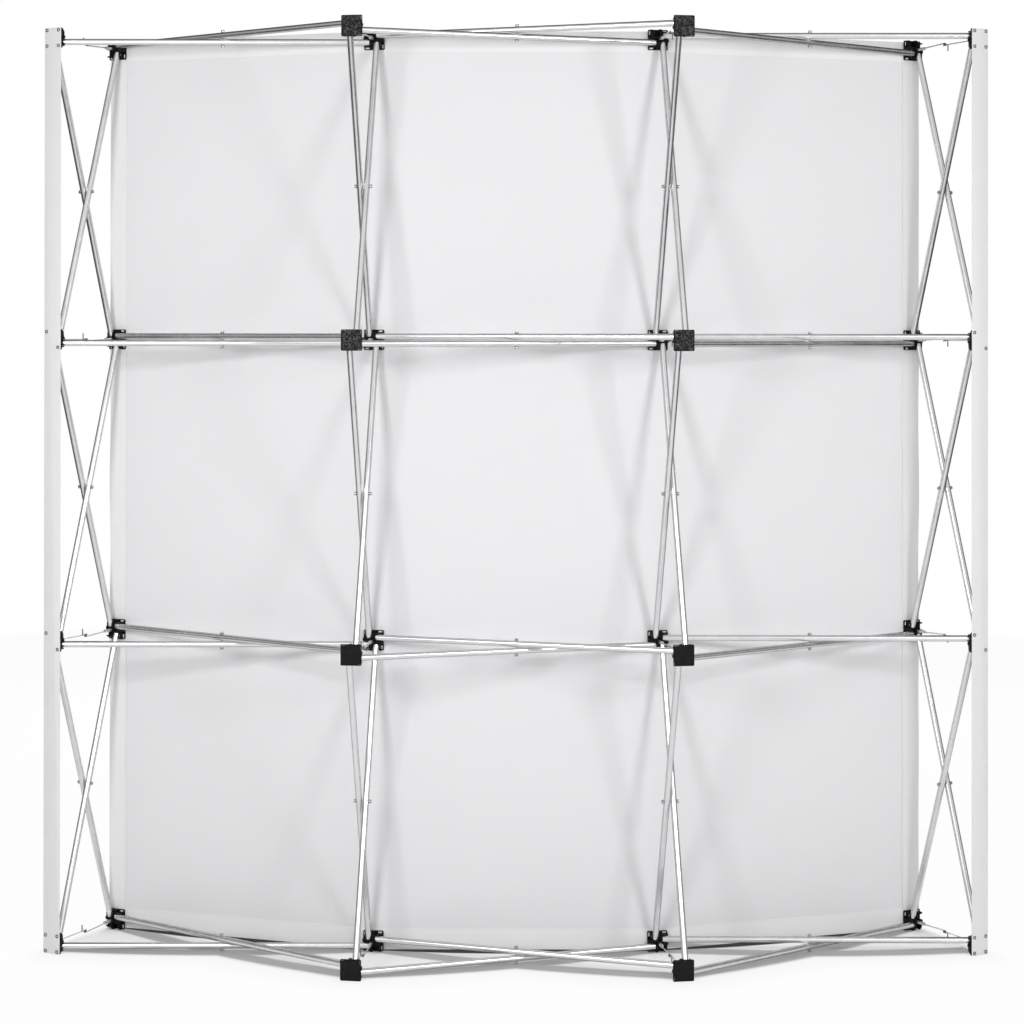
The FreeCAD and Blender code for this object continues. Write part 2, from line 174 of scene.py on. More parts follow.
def modify(piece: Piece, kind: str, **settings: object) -> None:
    """Adds one modifier to a piece and applies it.

    Args:
        piece: The piece.
        kind: The modifier's type.
        settings: Values of its settings.
    """
    pick(piece)
    modifier = piece.modifiers.new(kind.lower(), kind)
    for name, value in settings.items():
        setattr(modifier, name, value)
    bpy.ops.object.modifier_apply(modifier=modifier.name)


def carve(piece: Piece, tool: Piece, cut: Cut) -> None:
    """Joins a tool to a piece or removes it from the piece, and deletes the tool."""
    modify(piece, "BOOLEAN", object=tool, operation=cut.value, solver="EXACT")
    discard(tool)


def smooth(piece: Piece, angle: float = 30.0) -> None:
    """Shades a piece smooth up to an angle in degrees."""
    pick(piece)
    bpy.ops.object.shade_smooth_by_angle(angle=math.radians(angle))


def soften(piece: Piece, edge: Round) -> None:
    """Rounds the sharp edges of a piece and shades it smooth between them.

    Args:
        piece: The piece.
        edge: The rounding.
    """
    modify(
        piece, "BEVEL", width=edge.width, segments=edge.segments, limit_method="ANGLE",
        angle_limit=math.radians(edge.angle), use_clamp_overlap=True,
    )
    smooth(piece)


@contextmanager
def editing(
    piece: Piece, element: Element | None = None,
    chosen: Callable[[object], bool] = lambda part: True,
) -> Iterator[None]:
    """Edit mode on a piece, for the steps inside it.

    Args:
        piece: The piece.
        element: The kind of element that is selected, or all of the piece if none is named.
        chosen: Says of each element of that kind whether it is selected.

    Yields:
        Once, with the piece in edit mode.
    """
    pick(piece)
    bpy.ops.object.mode_set(mode="EDIT")
    if element is None:
        bpy.ops.mesh.select_all(action="SELECT")
    else:
        mode, parts = element.value
        bpy.ops.mesh.select_mode(type=mode)
        bpy.ops.mesh.select_all(action="DESELECT")
        bpy.ops.object.mode_set(mode="OBJECT")
        for part in getattr(piece.data, parts):
            part.select = chosen(part)
        bpy.ops.object.mode_set(mode="EDIT")
    yield
    bpy.ops.object.mode_set(mode="OBJECT")


def is_along_z(start: Vector, end: Vector) -> bool:
    """Whether an edge runs along Z."""
    return abs(start.x - end.x) < TINY and abs(start.y - end.y) < TINY


def round_edges(
    piece: Piece, width: float, segments: int,
    chosen: Callable[[Vector, Vector], bool] = is_along_z,
) -> None:
    """Rounds some edges of a piece.

    Args:
        piece: The piece.
        width: Width of the round.
        segments: Faces across it.
        chosen: Says of an edge's two ends whether it is rounded.
    """
    def picked(edge: bpy.types.MeshEdge) -> bool:
        """Whether an edge is rounded."""
        return chosen(*(piece.data.vertices[i].co for i in edge.vertices))

    with editing(piece, Element.EDGE, picked):
        bpy.ops.mesh.bevel(offset=width, segments=segments)


def push_face(piece: Piece, direction: Vector, inset: float, depth: float) -> None:
    """Insets the end face that looks along a direction, and pushes the new face in.

    Args:
        piece: The piece.
        direction: Where the face looks.
        inset: How far the new face lies inside the old one.
        depth: How far it is pushed in.
    """
    def reach(face: bpy.types.MeshPolygon) -> float:
        """How far out a face lies that looks along the direction."""
        looks_ahead = face.normal.dot(direction) > ALONG
        return face.center.dot(direction) if looks_ahead else -math.inf

    far = max(reach(face) for face in piece.data.polygons)
    with editing(piece, Element.FACE, lambda face: reach(face) > far - TINY):
        bpy.ops.mesh.inset(thickness=inset, depth=0.0)
        bpy.ops.transform.translate(value=-direction * depth)


def merge(parts: list[Piece]) -> Piece:
    """Joins several pieces into the first of them.

    Args:
        parts: The pieces.

    Returns:
        The first of them.
    """
    pick(parts[0])
    for part in parts[1:]:
        part.select_set(True)
    bpy.ops.object.join()
    return parts[0]


def copy_at(master: Piece, place: Matrix) -> Piece:
    """Copies a master.

    Args:
        master: What is copied.
        place: Where the copy goes.

    Returns:
        The copy, with its own mesh.
    """
    copy = bpy.data.objects.new(master.name, master.data.copy())
    copy.data.transform(place)
    bpy.context.collection.objects.link(copy)
    return copy


def dress(
    piece: Piece, name: str, coat: Coat, node: str | None = None, body: str = WALL
) -> Piece:
    """Names a finished piece, gives it its material and ties it to the frame.

    Args:
        piece: The piece.
        name: Its name.
        coat: Its material and slot.
        node: The CAD node that it stands for, if any.
        body: The body that it moves with.

    Returns:
        The same piece.
    """
    piece.name = name
    piece.data.name = name
    piece.data.materials.clear()
    piece.data.materials.append(coat.material)
    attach(piece, body)
    if node:
        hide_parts(node)
    LOG.info("%s: %d faces", name, len(piece.data.polygons))
    return piece


def stamp(
    name: str, master: Piece, places: Iterable[Matrix], coat: Coat,
    node: str | None = None, body: str = WALL,
) -> Piece:
    """Copies a master to some places, and joins and dresses the copies as one piece."""
    return dress(merge([copy_at(master, place) for place in places]), name, coat, node, body)


# ---- the shader arithmetic


def math_node(operation: str, turned: bool = False) -> Callable[..., "Signal"]:
    """A method of Signal that adds a Math node.

    Args:
        operation: The node's operation.
        turned: Whether the signal itself comes last in it.

    Returns:
        The method, which takes the node's other inputs.
    """
    def method(signal: "Signal", *others: "float | Signal") -> "Signal":
        """Adds the node between this signal and the others.

        Args:
            signal: The signal whose method this is.
            others: The node's other inputs.

        Returns:
            The node's result.
        """
        inputs = (*others, signal) if turned else (signal, *others)
        node = signal.graph.node("Math", dict(enumerate(inputs)), operation=operation)
        return Signal(signal.graph, node.outputs[0])

    return method


class Signal:
    """A number that travels through a material. Arithmetic on it adds Math nodes."""

    def __init__(self, graph: "Graph", socket: Socket) -> None:
        """Wraps a socket of a graph."""
        self.graph = graph
        self.socket = socket

    __add__ = __radd__ = math_node("ADD")
    __sub__ = math_node("SUBTRACT")
    __rsub__ = math_node("SUBTRACT", turned=True)
    __mul__ = math_node("MULTIPLY")
    __truediv__ = math_node("DIVIDE")
    __pow__ = math_node("POWER")
    sine = math_node("SINE")
    cosine = math_node("COSINE")
    angle = math_node("ARCTAN2")
    fraction = math_node("FRACT")
    least = math_node("MINIMUM")
    most = math_node("MAXIMUM")
    size = math_node("ABSOLUTE")

    def step(self, low: float, high: float) -> "Signal":
        """A soft step.

        Args:
            low: Where it begins, at nought.
            high: Where it ends, at one.

        Returns:
            The step's value.
        """
        values = {"Value": self, "From Min": low, "From Max": high}
        node = self.graph.node("MapRange", values, interpolation_type="SMOOTHSTEP")
        return Signal(self.graph, node.outputs[0])


class Graph:
    """The nodes of one material or of the world."""

    def __init__(self, owner: "bpy.types.Material | bpy.types.World") -> None:
        """Empties an owner's node tree.

        Args:
            owner: The material or the world.
        """
        owner.use_nodes = True
        self.tree = owner.node_tree
        self.tree.nodes.clear()

    def node(self, kind: str, values: Values | None = None, **settings: object) -> bpy.types.Node:
        """Adds a node.

        Args:
            kind: The node's type, without its prefix.
            values: A plain value or a link for each of its sockets, by name or number.
            settings: Its settings.

        Returns:
            The node.
        """
        node = self.tree.nodes.new("ShaderNode" + kind)
        for name, value in settings.items():
            setattr(node, name, value)
        for name, value in (values or {}).items():
            if isinstance(value, Signal):
                value = value.socket
            if isinstance(value, Socket):
                self.tree.links.new(value, node.inputs[name])
            else:
                node.inputs[name].default_value = value
        return node

    def place(self, output: str = "Object", scale: Triple = (1.0, 1.0, 1.0)) -> Socket:
        """Object, UV or Generated coordinates, scaled by axis."""
        source = self.node("TexCoord").outputs[output]
        return self.node("Mapping", {"Vector": source, "Scale": scale}).outputs["Vector"]

    def noise(self, vector: Socket, scale: float, detail: float) -> Signal:
        """Cloudy noise at a scale and with a number of finer octaves, from nought to one."""
        values = {"Vector": vector, "Scale": scale, "Detail": detail, "Roughness": 0.55}
        return Signal(self, self.node("TexNoise", values).outputs[0])

    def cells(self, vector: Socket, scale: float) -> Signal:
        """The distance to the nearest of many scattered points."""
        node = self.node("TexVoronoi", {"Vector": vector, "Scale": scale})
        return Signal(self, node.outputs["Distance"])

    def parts(self, vector: Socket) -> list[Signal]:
        """The three numbers of a vector."""
        outputs = self.node("SeparateXYZ", {"Vector": vector}).outputs
        return [Signal(self, socket) for socket in outputs]

    def rays(self) -> tuple[Signal, Signal]:
        """What kind of ray meets the surface.

        Returns:
            One or nought for a ray from the camera, also through a surface, and for a glossy ray.
        """
        outputs = self.node("LightPath").outputs
        kinds = ("Is Camera Ray", "Is Transmission Ray", "Is Glossy Ray")
        direct, through, glossy = (Signal(self, outputs[kind]) for kind in kinds)
        return direct.most(through), glossy

    def blend(self, share: "float | Signal", first: object, last: object) -> Socket:
        """A colour between two colours or links, by the share of the last."""
        return self.node("Mix", {0: share, 6: first, 7: last}, data_type="RGBA").outputs[2]

    def bump(self, height: Signal, strength: float, distance: float) -> Socket:
        """The normal of a relief. A height of one stands for the distance, in metres."""
        values = {"Height": height, "Strength": strength, "Distance": distance}
        return self.node("Bump", values).outputs["Normal"]


def shade(level: float, tint: float = 0.0) -> tuple[float, float, float, float]:
    """A grey, with a touch of blue."""
    return (level, level, level + tint, 1.0)


# ---- the finishes


@dataclass(frozen=True)
class Finish:
    """How a surface looks, for one of the record's material slots."""

    name: str
    slot: str

    def look(self, graph: Graph) -> Values:
        """A value or a link for each socket of the shader. Each finish has its own."""
        raise NotImplementedError

    def make(self) -> Coat:
        """Builds the material.

        Returns:
            The material, with its slot.
        """
        material = bpy.data.materials.new(self.name)
        graph = Graph(material)
        shader = graph.node("BsdfPrincipled", self.look(graph))
        graph.node("OutputMaterial", {"Surface": shader.outputs[0]})
        return Coat(material, self.slot)


@dataclass(frozen=True)
class DrawnTube(Finish):
    """Satin aluminium tube with fine draw lines along it and slight clouding."""

    name: str = "drawn_tube"
    slot: str = "tube"
    bright: float = 0.82
    dull: float = 0.71
    edge: float = 0.12
    roughness: float = 0.27

    def look(self, graph: Graph) -> Values:
        """Draw lines under slow clouds, with specks in the relief.

        Args:
            graph: The material's nodes.

        Returns:
            The values and links of the shader's sockets.
        """
        lines = graph.noise(graph.place("UV", (160.0, 3.0, 1.0)), 1.0, 3.0)
        clouds = graph.noise(graph.place(), 14.0, 3.0)
        specks = graph.noise(graph.place(), 900.0, 1.0)
        tone = (lines * 0.55 + clouds * 0.45).step(0.3, 0.7)
        return {
            "Base Color": graph.blend(tone, shade(self.dull, 0.008), shade(self.bright, 0.01)),
            "Metallic": 0.95,
            "Specular Tint": shade(self.edge),
            "Roughness": self.roughness + lines * 0.10 + clouds * 0.06 - 0.08,
            "Normal": graph.bump(lines * 0.7 + specks * 0.3, 0.25, 0.00008),
        }


@dataclass(frozen=True)
class BareSteel(Finish):
    """Plated steel of rods, pins and rivets, a little worn."""

    level: float
    roughness: float
    worn: float = 0.86

    def look(self, graph: Graph) -> Values:
        """A fine grain with worn clouds.

        Args:
            graph: The material's nodes.

        Returns:
            The values and links of the shader's sockets.
        """
        place = graph.place()
        grain = graph.noise(place, 700.0, 2.0)
        wear = graph.noise(place, 60.0, 3.0).step(0.35, 0.7)
        tone = graph.blend(wear, shade(self.level * self.worn), shade(self.level, 0.01))
        return {
            "Base Color": tone,
            "Metallic": 0.9,
            "Roughness": self.roughness + grain * 0.14 - 0.05,
            "Normal": graph.bump(grain, 0.2, 0.0001),
        }


@dataclass(frozen=True)
class MouldedHub(Finish):
    """Black moulded plastic with a fine spark-eroded grain and dull rubbed patches."""

    name: str = "moulded_hub"
    slot: str = "hub"
    level: float = 0.004
    rubbed: float = 0.010
    roughness: float = 0.40

    def look(self, graph: Graph) -> Values:
        """An even grain, with rubs that are paler and duller.

        Args:
            graph: The material's nodes.

        Returns:
            The values and links of the shader's sockets.
        """
        place = graph.place()
        grain = graph.noise(place, 1900.0, 1.0)
        rubs = graph.noise(place, 130.0, 4.0)
        return {
            "Base Color": graph.blend(rubs.step(0.52, 0.72), shade(self.level), shade(self.rubbed)),
            "Specular IOR Level": 0.13,
            "Roughness": self.roughness + rubs * 0.16 + grain * 0.06,
            "Normal": graph.bump(grain, 0.35, 0.00012),
        }


@dataclass(frozen=True)
class HookPile(Finish):
    """Black hook tape: a dense field of tiny hooks, matted, with paler patches higher up."""

    name: str = "hook_pile"
    slot: str = "hook_pad"
    level: float = 0.006
    dusty: float = 0.10
    roughness: float = 0.72
    paler_heights: Pair = (0.9, 1.5)
    least_paling: float = 0.06

    def look(self, graph: Graph) -> Values:
        """Hooks in the relief, and matted pale patches that show more towards the top.

        Args:
            graph: The material's nodes.

        Returns:
            The values and links of the shader's sockets.
        """
        place = graph.place()
        hooks = graph.cells(place, 760.0)
        matting = graph.noise(place, 260.0, 6.0)
        patches = graph.noise(place, 70.0, 3.0)
        _, _, height = graph.parts(place)
        # the pale patches show more towards the top, by height alone
        paling_by_height = height.step(*self.paler_heights) * (1.0 - self.least_paling) + self.least_paling
        pale_patches = (matting * 0.75 + patches * 0.25).step(0.43, 0.66) * paling_by_height
        return {
            "Base Color": graph.blend(pale_patches, shade(self.level), shade(self.dusty)),
            "Specular IOR Level": 0.2,
            "Roughness": self.roughness + hooks * 0.2,
            "Sheen Weight": 0.05,
            "Sheen Roughness": 0.4,
            "Normal": graph.bump(1.0 - hooks + matting * 0.6, 0.7, 0.0006),
        }


@dataclass(frozen=True)
class PanelCloth(Finish):
    """White display cloth: a fine plain weave with slubs. Its UV map is in metres of cloth."""

    name: str = "panel_cloth"
    slot: str = "fabric"
    level: float = 0.80
    tint: float = 0.012
    thread: float = 0.0011
    roughness: float = 0.86

    def look(self, graph: Graph) -> Values:
        """Warp and weft under long slubs and slow clouds.

        Args:
            graph: The material's nodes.

        Returns:
            The values and links of the shader's sockets.
        """
        cloth = graph.place("UV")
        across, upward, _ = graph.parts(cloth)
        pitch = 2 * math.pi / self.thread
        weave = (across * pitch).sine().size().most((upward * pitch).sine().size())
        slubs = graph.noise(graph.place("UV", (9.0, 260.0, 1.0)), 1.0, 2.0)
        clouds = graph.noise(cloth, 2.2, 3.0)
        dull, bright = shade(self.level - 0.03, self.tint), shade(self.level + 0.015, self.tint)
        return {
            "Base Color": graph.blend(clouds * 0.5 + slubs * 0.3 + weave * 0.2, dull, bright),
            "Roughness": self.roughness + slubs * 0.08,
            "Specular IOR Level": 0.25,
            "Sheen Weight": 0.12,
            "Sheen Roughness": 0.6,
            "Normal": graph.bump(weave * 0.8 + slubs * 0.4, 0.35, 0.00022),
        }


@dataclass(frozen=True)
class LoopTape(Finish):
    """White loop tape with a brushed face and a row of stitches near each edge.

    Its UV map runs along the tape and across it, in metres.
    """

    name: str = "loop_tape"
    slot: str = "loop_tape"
    level: float = 0.885
    roughness: float = 0.82
    width: float = 0.050
    stitch: float = 0.0042
    margin: float = 0.0035
    seam_edge: Pair = (0.0003, 0.0009)

    def look(self, graph: Graph) -> Values:
        """A brushed pile, pressed down along the seams, with the stitches on it.

        Args:
            graph: The material's nodes.

        Returns:
            A brushed pile with its stitches; the pressed-down seams carry painted shade.
        """
        tape = graph.place("UV")
        along, across, _ = graph.parts(tape)
        from_middle = (across - self.width / 2).size()
        from_seam = (from_middle - (self.width / 2 - self.margin)).size()
        seam = 1.0 - from_seam.step(*self.seam_edge)
        thread = seam * ((along / self.stitch).fraction() - 0.5).size().step(0.08, 0.2)
        pile = graph.noise(tape, 1500.0, 2.0)
        brushed = graph.noise(graph.place("UV", (20.0, 500.0, 1.0)), 1.0, 3.0)
        # seam * 0.7 darkens the pressed groove of each seam: painted shade
        tone = brushed * 0.4 + pile * 0.35 + thread * 0.25 - seam * 0.7
        dull, bright = shade(self.level - 0.05, 0.01), shade(self.level + 0.04, 0.008)
        relief = pile * 0.5 + brushed * 0.3 + thread * 0.8 - seam * 0.6
        return {
            "Base Color": graph.blend(tone, dull, bright),
            "Roughness": self.roughness + pile * 0.1,
            "Specular IOR Level": 0.3,
            "Sheen Weight": 0.2,
            "Sheen Roughness": 0.5,
            "Normal": graph.bump(relief, 0.4, 0.0005),
        }


@dataclass(frozen=True)
class StripPlastic(Finish):
    """Pale flexible plastic strip with a faint rolled grain along it."""

    name: str = "strip_plastic"
    slot: str = "strip"
    level: float = 0.79
    tint: float = 0.004
    roughness: float = 0.42

    def look(self, graph: Graph) -> Values:
        """Slow clouds over a rolled grain.

        Args:
            graph: The material's nodes.

        Returns:
            The values and links of the shader's sockets.
        """
        rolled = graph.noise(graph.place("Object", (900.0, 900.0, 14.0)), 1.0, 2.0)
        clouds = graph.noise(graph.place(), 9.0, 3.0)
        dull, bright = shade(self.level - 0.035, self.tint), shade(self.level + 0.015, self.tint)
        return {
            "Base Color": graph.blend(clouds * 0.7 + rolled * 0.3, dull, bright),
            "Roughness": self.roughness + clouds * 0.12 + rolled * 0.06,
            "Normal": graph.bump(rolled, 0.2, 0.0001),
        }


# ---- the lattice


def axes(origin: Vector, x: Vector, y: Vector, z: Vector) -> Matrix:
    """A placement from an origin and the directions of its three axes."""
    return Matrix.Translation(origin) @ Matrix((x, y, z)).transposed().to_4x4()


@dataclass(frozen=True)
class Station:
    """One hub's place: the middle of its pivot plane, and the pin of its locking arm."""

    column: int
    level: int
    side: Side
    arm_pin: Vector
    pivot: Vector
    along: Vector
    outward: Vector

    def hub_frame(self) -> Matrix:
        """The hub's own axes: +Z to the inside of the truss, +Y up."""
        return axes(self.pivot, self.along * self.side.way, UP, self.outward * self.side.way)

    def arm_frame(self, turned_over: bool) -> Matrix:
        """The arm's own axes: +X along it, +Y along its pin, +Z away from the hook's mouth.

        Args:
            turned_over: Whether the hook opens upwards.

        Returns:
            The arm's placement.
        """
        ahead = self.outward * self.side.way
        top = -UP if turned_over else UP
        return axes(self.arm_pin, ahead, top.cross(ahead), top)

    def offset(self, sideways: float, height: float) -> Vector:
        """A point in the pivot plane, moved along the wall and up."""
        return self.pivot + self.along * sideways + UP * height


@dataclass(frozen=True)
class Tube:
    """A tube between its rear and front pins, and the direction of the rivet through it."""

    start: Vector
    end: Vector
    hole: Vector

    def run(self) -> Vector:
        """The direction from its rear to its front pin."""
        return (self.end - self.start).normalized()

    def place(self) -> Matrix:
        """The tube's placement.

        Returns:
            Its axes: +Z along it from its rear pin, and +Y near the rivet's direction.
        """
        ahead = self.run()
        side = (self.hole - ahead * self.hole.dot(ahead)).normalized()
        return axes(self.start, side.cross(ahead), side, ahead)


@dataclass
class Lattice:
    """Where the hubs, tubes and rivets stand, from the hinges of the locking arms."""

    columns: int = 4
    levels: int = 4
    arm_pin_inset: float = 0.008
    tube_pin_inset: float = 0.015
    tube_radius: float = 0.0075
    crossing_gap: float = 0.0015

    def __post_init__(self) -> None:
        """Reads each hub's place from the hinge of its arm."""
        self.stations: dict[tuple[int, int, Side], Station] = {}
        hinges = {joint["child"]: joint for joint in frame["joints"]}
        for column, level, side in product(range(self.columns), range(self.levels), Side):
            hinge = hinges[f"{side.value}_arm_column_{column + 1}_level_{level + 1}"]
            along = Vector(hinge["axis"]) * (1.0 if self.turned_over(column) else -1.0)
            outward = Vector((along.y, -along.x, 0.0))
            pin = Vector(hinge["pos_m"])
            pivot = pin - outward * self.arm_pin_inset * side.way
            self.stations[column, level, side] = Station(
                column, level, side, pin, pivot, along, outward
            )

    def turned_over(self, column: int) -> bool:
        """Whether the arms of a column have their hooks open upwards."""
        return column < self.columns / 2

    def at(self, column: int, level: int, side: Side = Side.FRONT) -> Station:
        """The station of a hub."""
        return self.stations[column, level, side]

    def hub_frames(self, side: Side, columns: Iterable[int]) -> list[Matrix]:
        """The axes of the hubs on one side of some columns, column by column."""
        places = product(columns, range(self.levels))
        return [self.at(column, level, side).hub_frame() for column, level in places]

    def crossed(self, line: list[tuple[int, int]], upright: bool) -> list[Tube]:
        """The two crossed tubes of each bay along a line of hubs.

        Args:
            line: Column and level of each hub on the line.
            upright: Whether the line is a column and not a level.

        Returns:
            The tubes, pair by pair.
        """
        tubes = []
        for near, far in zip(line, line[1:]):
            hole = self.at(*near, Side.REAR).along if upright else UP
            for way, first, last in ((1, near, far), (-1, far, near)):
                rear, front = self.at(*first, Side.REAR), self.at(*last)
                inset = way * self.tube_pin_inset
                aside = way * (self.tube_radius + self.crossing_gap / 2)
                if upright:
                    ends = rear.offset(aside, inset), front.offset(aside, -inset)
                else:
                    ends = rear.offset(inset, -aside), front.offset(-inset, -aside)
                tubes.append(Tube(*ends, hole))
        return tubes

    def tubes(self) -> dict[str, list[Tube]]:
        """Lays out all tubes.

        Returns:
            The tubes of each column and of each level, by their CAD node.
        """
        groups = {}
        for column in range(self.columns):
            line = [(column, level) for level in range(self.levels)]
            groups[f"column_tubes_{column + 1}"] = self.crossed(line, True)
        for level in range(self.levels):
            line = [(column, level) for column in range(self.columns)]
            groups[f"row_tubes_{level + 1}"] = self.crossed(line, False)
        return groups

    def crossings(self, tubes: list[Tube]) -> list[Matrix]:
        """Finds where the tubes of each pair cross.

        Args:
            tubes: The tubes, pair by pair.

        Returns:
            The places of their rivets, with +Z along the rivet.
        """
        places = []
        for tube, crossing in zip(tubes[::2], tubes[1::2]):
            run, other, hole = tube.run(), crossing.run(), tube.hole
            gap = crossing.start - tube.start
            slant = run.dot(other)
            reach = (gap.dot(run) - gap.dot(other) * slant) / (1.0 - slant * slant)
            middle = tube.start + run * reach + hole * (gap.dot(hole) / 2)
            sideways = X if hole == UP else UP.cross(hole)
            places.append(axes(middle, sideways, hole.cross(sideways), hole))
        return places


# ---- the frame's pieces


@dataclass
class HubMoulding:
    """The moulded hub: a plate, a pinwheel of four slots and a fork at the centre."""

    side: float = 0.050
    corner: float = 0.003
    plate_back: float = -0.018
    plate_face: float = -0.014
    plate_seat: float = 0.001
    root: float = 0.0065
    root_seat: float = 0.0015
    slot_near: float = -0.00025
    slot_far: float = -0.01625
    wall_top: float = 0.0058
    wall_bend: float = 0.0150
    wall_end: float = -0.0025
    horn_thickness: float = 0.0025
    horn_top: float = 0.0026
    horn_bend: float = 0.0172
    horn_end: float = -0.0045
    fork_top: float = 0.0115
    fork_floor: float = 0.0036
    fork_room: float = 0.00355
    hole_centre: Pair = (0.0168, 0.0210)
    hole_reach: Pair = (0.0052, 0.0022)
    plate_edge: Round = Round(0.0005, 2, 50.0)
    core_edge: Round = Round(0.0006)
    fin_edge: Round = Round(0.0007, 2, 20.0)

    def fin(self, low: float, high: float, top: float, bend: float, end: float) -> Piece:
        """A fin beside a slot: level near the core, then falling away to the plate's edge.

        Args:
            low: Its lower side in X.
            high: Its upper side in X.
            top: Its height where it is level.
            bend: Where in Y it starts to fall.
            end: Its height at the edge of the plate.

        Returns:
            The fin.
        """
        half = self.side / 2
        foot = (low, self.root - self.root_seat, self.plate_face - self.plate_seat)
        part = block(foot, (high, half, top))
        with editing(part):
            bpy.ops.mesh.bisect(plane_co=(0.0, bend, 0.0), plane_no=Y)

        def is_far_top(vertex: bpy.types.MeshVertex) -> bool:
            """Whether a vertex is on the top edge over the plate's edge."""
            return vertex.co.y > half - TINY and vertex.co.z > top - TINY

        with editing(part, Element.VERTEX, is_far_top):
            bpy.ops.transform.translate(value=(0.0, 0.0, end - top))
        soften(part, self.fin_edge)
        return part

    def quarter(self) -> Piece:
        """The wall and the horn on the two sides of one slot.

        Returns:
            Both fins, as one piece.
        """
        slot_far, horn_far = self.slot_far, self.slot_far - self.horn_thickness
        return merge([
            self.fin(self.slot_near, self.root, self.wall_top, self.wall_bend, self.wall_end),
            self.fin(horn_far, slot_far, self.horn_top, self.horn_bend, self.horn_end),
        ])

    def core(self) -> Piece:
        """The block at the centre.

        Returns:
            The block, forked for the locking arm.
        """
        root, room = self.root, self.fork_room
        core = block((-root, -root, self.plate_face - self.plate_seat), (root, root, self.fork_top))
        slot = block((-room, -2 * root, self.fork_floor), (room, 2 * root, 2 * self.fork_top))
        carve(core, slot, Cut.REMOVE)
        soften(core, self.core_edge)
        return core

    def plug(self, low: float, high: float, play: float = 0.0) -> Piece:
        """A block in one hole of the plate, from one height to another, with play round it."""
        (x, y), (dx, dy) = self.hole_centre, (reach - play for reach in self.hole_reach)
        return block((x - dx, y - dy, low), (x + dx, y + dy, high))

    def make(self) -> Piece:
        """Builds the hub.

        Returns:
            The hub, in its own axes.
        """
        half = self.side / 2
        hub = block((-half, -half, self.plate_back), (half, half, self.plate_face))
        round_edges(hub, self.corner, segments=5)
        soften(hub, self.plate_edge)
        core, quarter = self.core(), self.quarter()
        for part in [core, *(copy_at(quarter, turn) for turn in QUARTERS)]:
            carve(hub, part, Cut.JOIN)
        hole = self.plug(2 * self.plate_back, 0.0)
        round_edges(hole, self.hole_reach[1] * FULL_ROUND, segments=4)
        for turn in QUARTERS:
            carve(hub, copy_at(hole, turn), Cut.REMOVE)
        discard(quarter, hole)
        smooth(hub)
        return hub


@dataclass
class Frame:
    """The hubs, tubes, pins and rivets of the lattice."""

    lattice: Lattice
    hub_coat: Coat
    tube_coat: Coat
    rivet_coat: Coat
    tube_wall: float = 0.0012
    tube_overhang: float = 0.0055
    shank_radius: float = 0.002
    head_radius: float = 0.0042
    head_height: float = 0.0062
    head_seat: float = 0.0006
    dimple_rim: float = 0.0014
    dimple_depth: float = 0.0007
    pin_radius: float = 0.0015
    pin_proud: float = 0.0004
    tube_edge: Round = Round(0.0003, 1, 60.0)
    head_edge: Round = Round(0.0020, 3, 50.0)
    pin_edge: Round = Round(0.0004, 1, 60.0)

    def hubs(self) -> None:
        """The hubs of each column, rear and front."""
        master = HubMoulding().make()
        for column, side in product(range(self.lattice.columns), Side):
            node = f"{side.value}_hubs_column_{column + 1}"
            places = self.lattice.hub_frames(side, [column])
            stamp(f"moulded_{node}", master, places, self.hub_coat, node)
        discard(master)

    def tube(self, length: float) -> Piece:
        """One hollow tube.

        Args:
            length: From its rear pin to its front pin.

        Returns:
            The tube, along +Z from its rear pin.
        """
        overhang = UP * self.tube_overhang
        end = UP * length + overhang
        piece = rod(-overhang, end, self.lattice.tube_radius, sides=32, capped=False)
        modify(piece, "SOLIDIFY", thickness=self.tube_wall, offset=-1.0, use_rim=True)
        soften(piece, self.tube_edge)
        return piece

    def tubes(self) -> None:
        """The tubes of each column and of each level, which all have one length."""
        groups = self.lattice.tubes()
        first = groups["column_tubes_1"][0]
        master = self.tube((first.end - first.start).length)
        for node, tubes in groups.items():
            places = [tube.place() for tube in tubes]
            stamp(f"drawn_{node}", master, places, self.tube_coat, node)
        discard(master)

    def rivet(self) -> Piece:
        """One tubular rivet through two tubes, with domed and dimpled heads.

        Returns:
            The rivet, along Z.
        """
        grip = 2 * self.lattice.tube_radius + self.lattice.crossing_gap / 2
        parts = [rod(UP * -grip, UP * grip, self.shank_radius, sides=12)]
        for way in (-UP, UP):
            foot, top = way * (grip - self.head_seat), way * (grip + self.head_height)
            head = rod(foot, top, self.head_radius, sides=20)
            push_face(head, way, self.dimple_rim, self.dimple_depth)
            soften(head, self.head_edge)
            parts.append(head)
        return merge(parts)

    def rivets(self) -> None:
        """The rivets at the crossings."""
        master = self.rivet()
        for kind in ("column", "row"):
            places = [
                place for node, tubes in self.lattice.tubes().items() if node.startswith(kind)
                for place in self.lattice.crossings(tubes)
            ]
            stamp(f"domed_{kind}_rivets", master, places, self.rivet_coat, f"{kind}_rivets")
        discard(master)

    def pins(self) -> None:
        """The pins of the tube ends and of the locking arms in the hubs."""
        hub = HubMoulding()
        stations = self.lattice.stations
        ahead = Matrix.Translation(Y * self.lattice.tube_pin_inset)
        places = []
        for station in stations.values():
            for turn, (aside, up) in zip(QUARTERS, ((0, 1), (-1, 0), (0, -1), (1, 0))):
                column = station.column + aside * station.side.way
                if (column, station.level + up, station.side) in stations:
                    places.append(station.hub_frame() @ turn @ ahead)
        foot = hub.slot_far - hub.horn_thickness - self.pin_proud
        pin = rod(X * foot, X * (hub.root + self.pin_proud), self.pin_radius, sides=10)
        soften(pin, self.pin_edge)
        stamp("tube_pins", pin, places, self.rivet_coat)
        arm_pin = rod(X * -hub.root, X * hub.root, self.pin_radius, sides=16)
        inward = Matrix.Translation(UP * self.lattice.arm_pin_inset)
        places = [station.hub_frame() @ inward for station in stations.values()]
        stamp("arm_pins", arm_pin, places, self.rivet_coat)
        discard(pin, arm_pin)


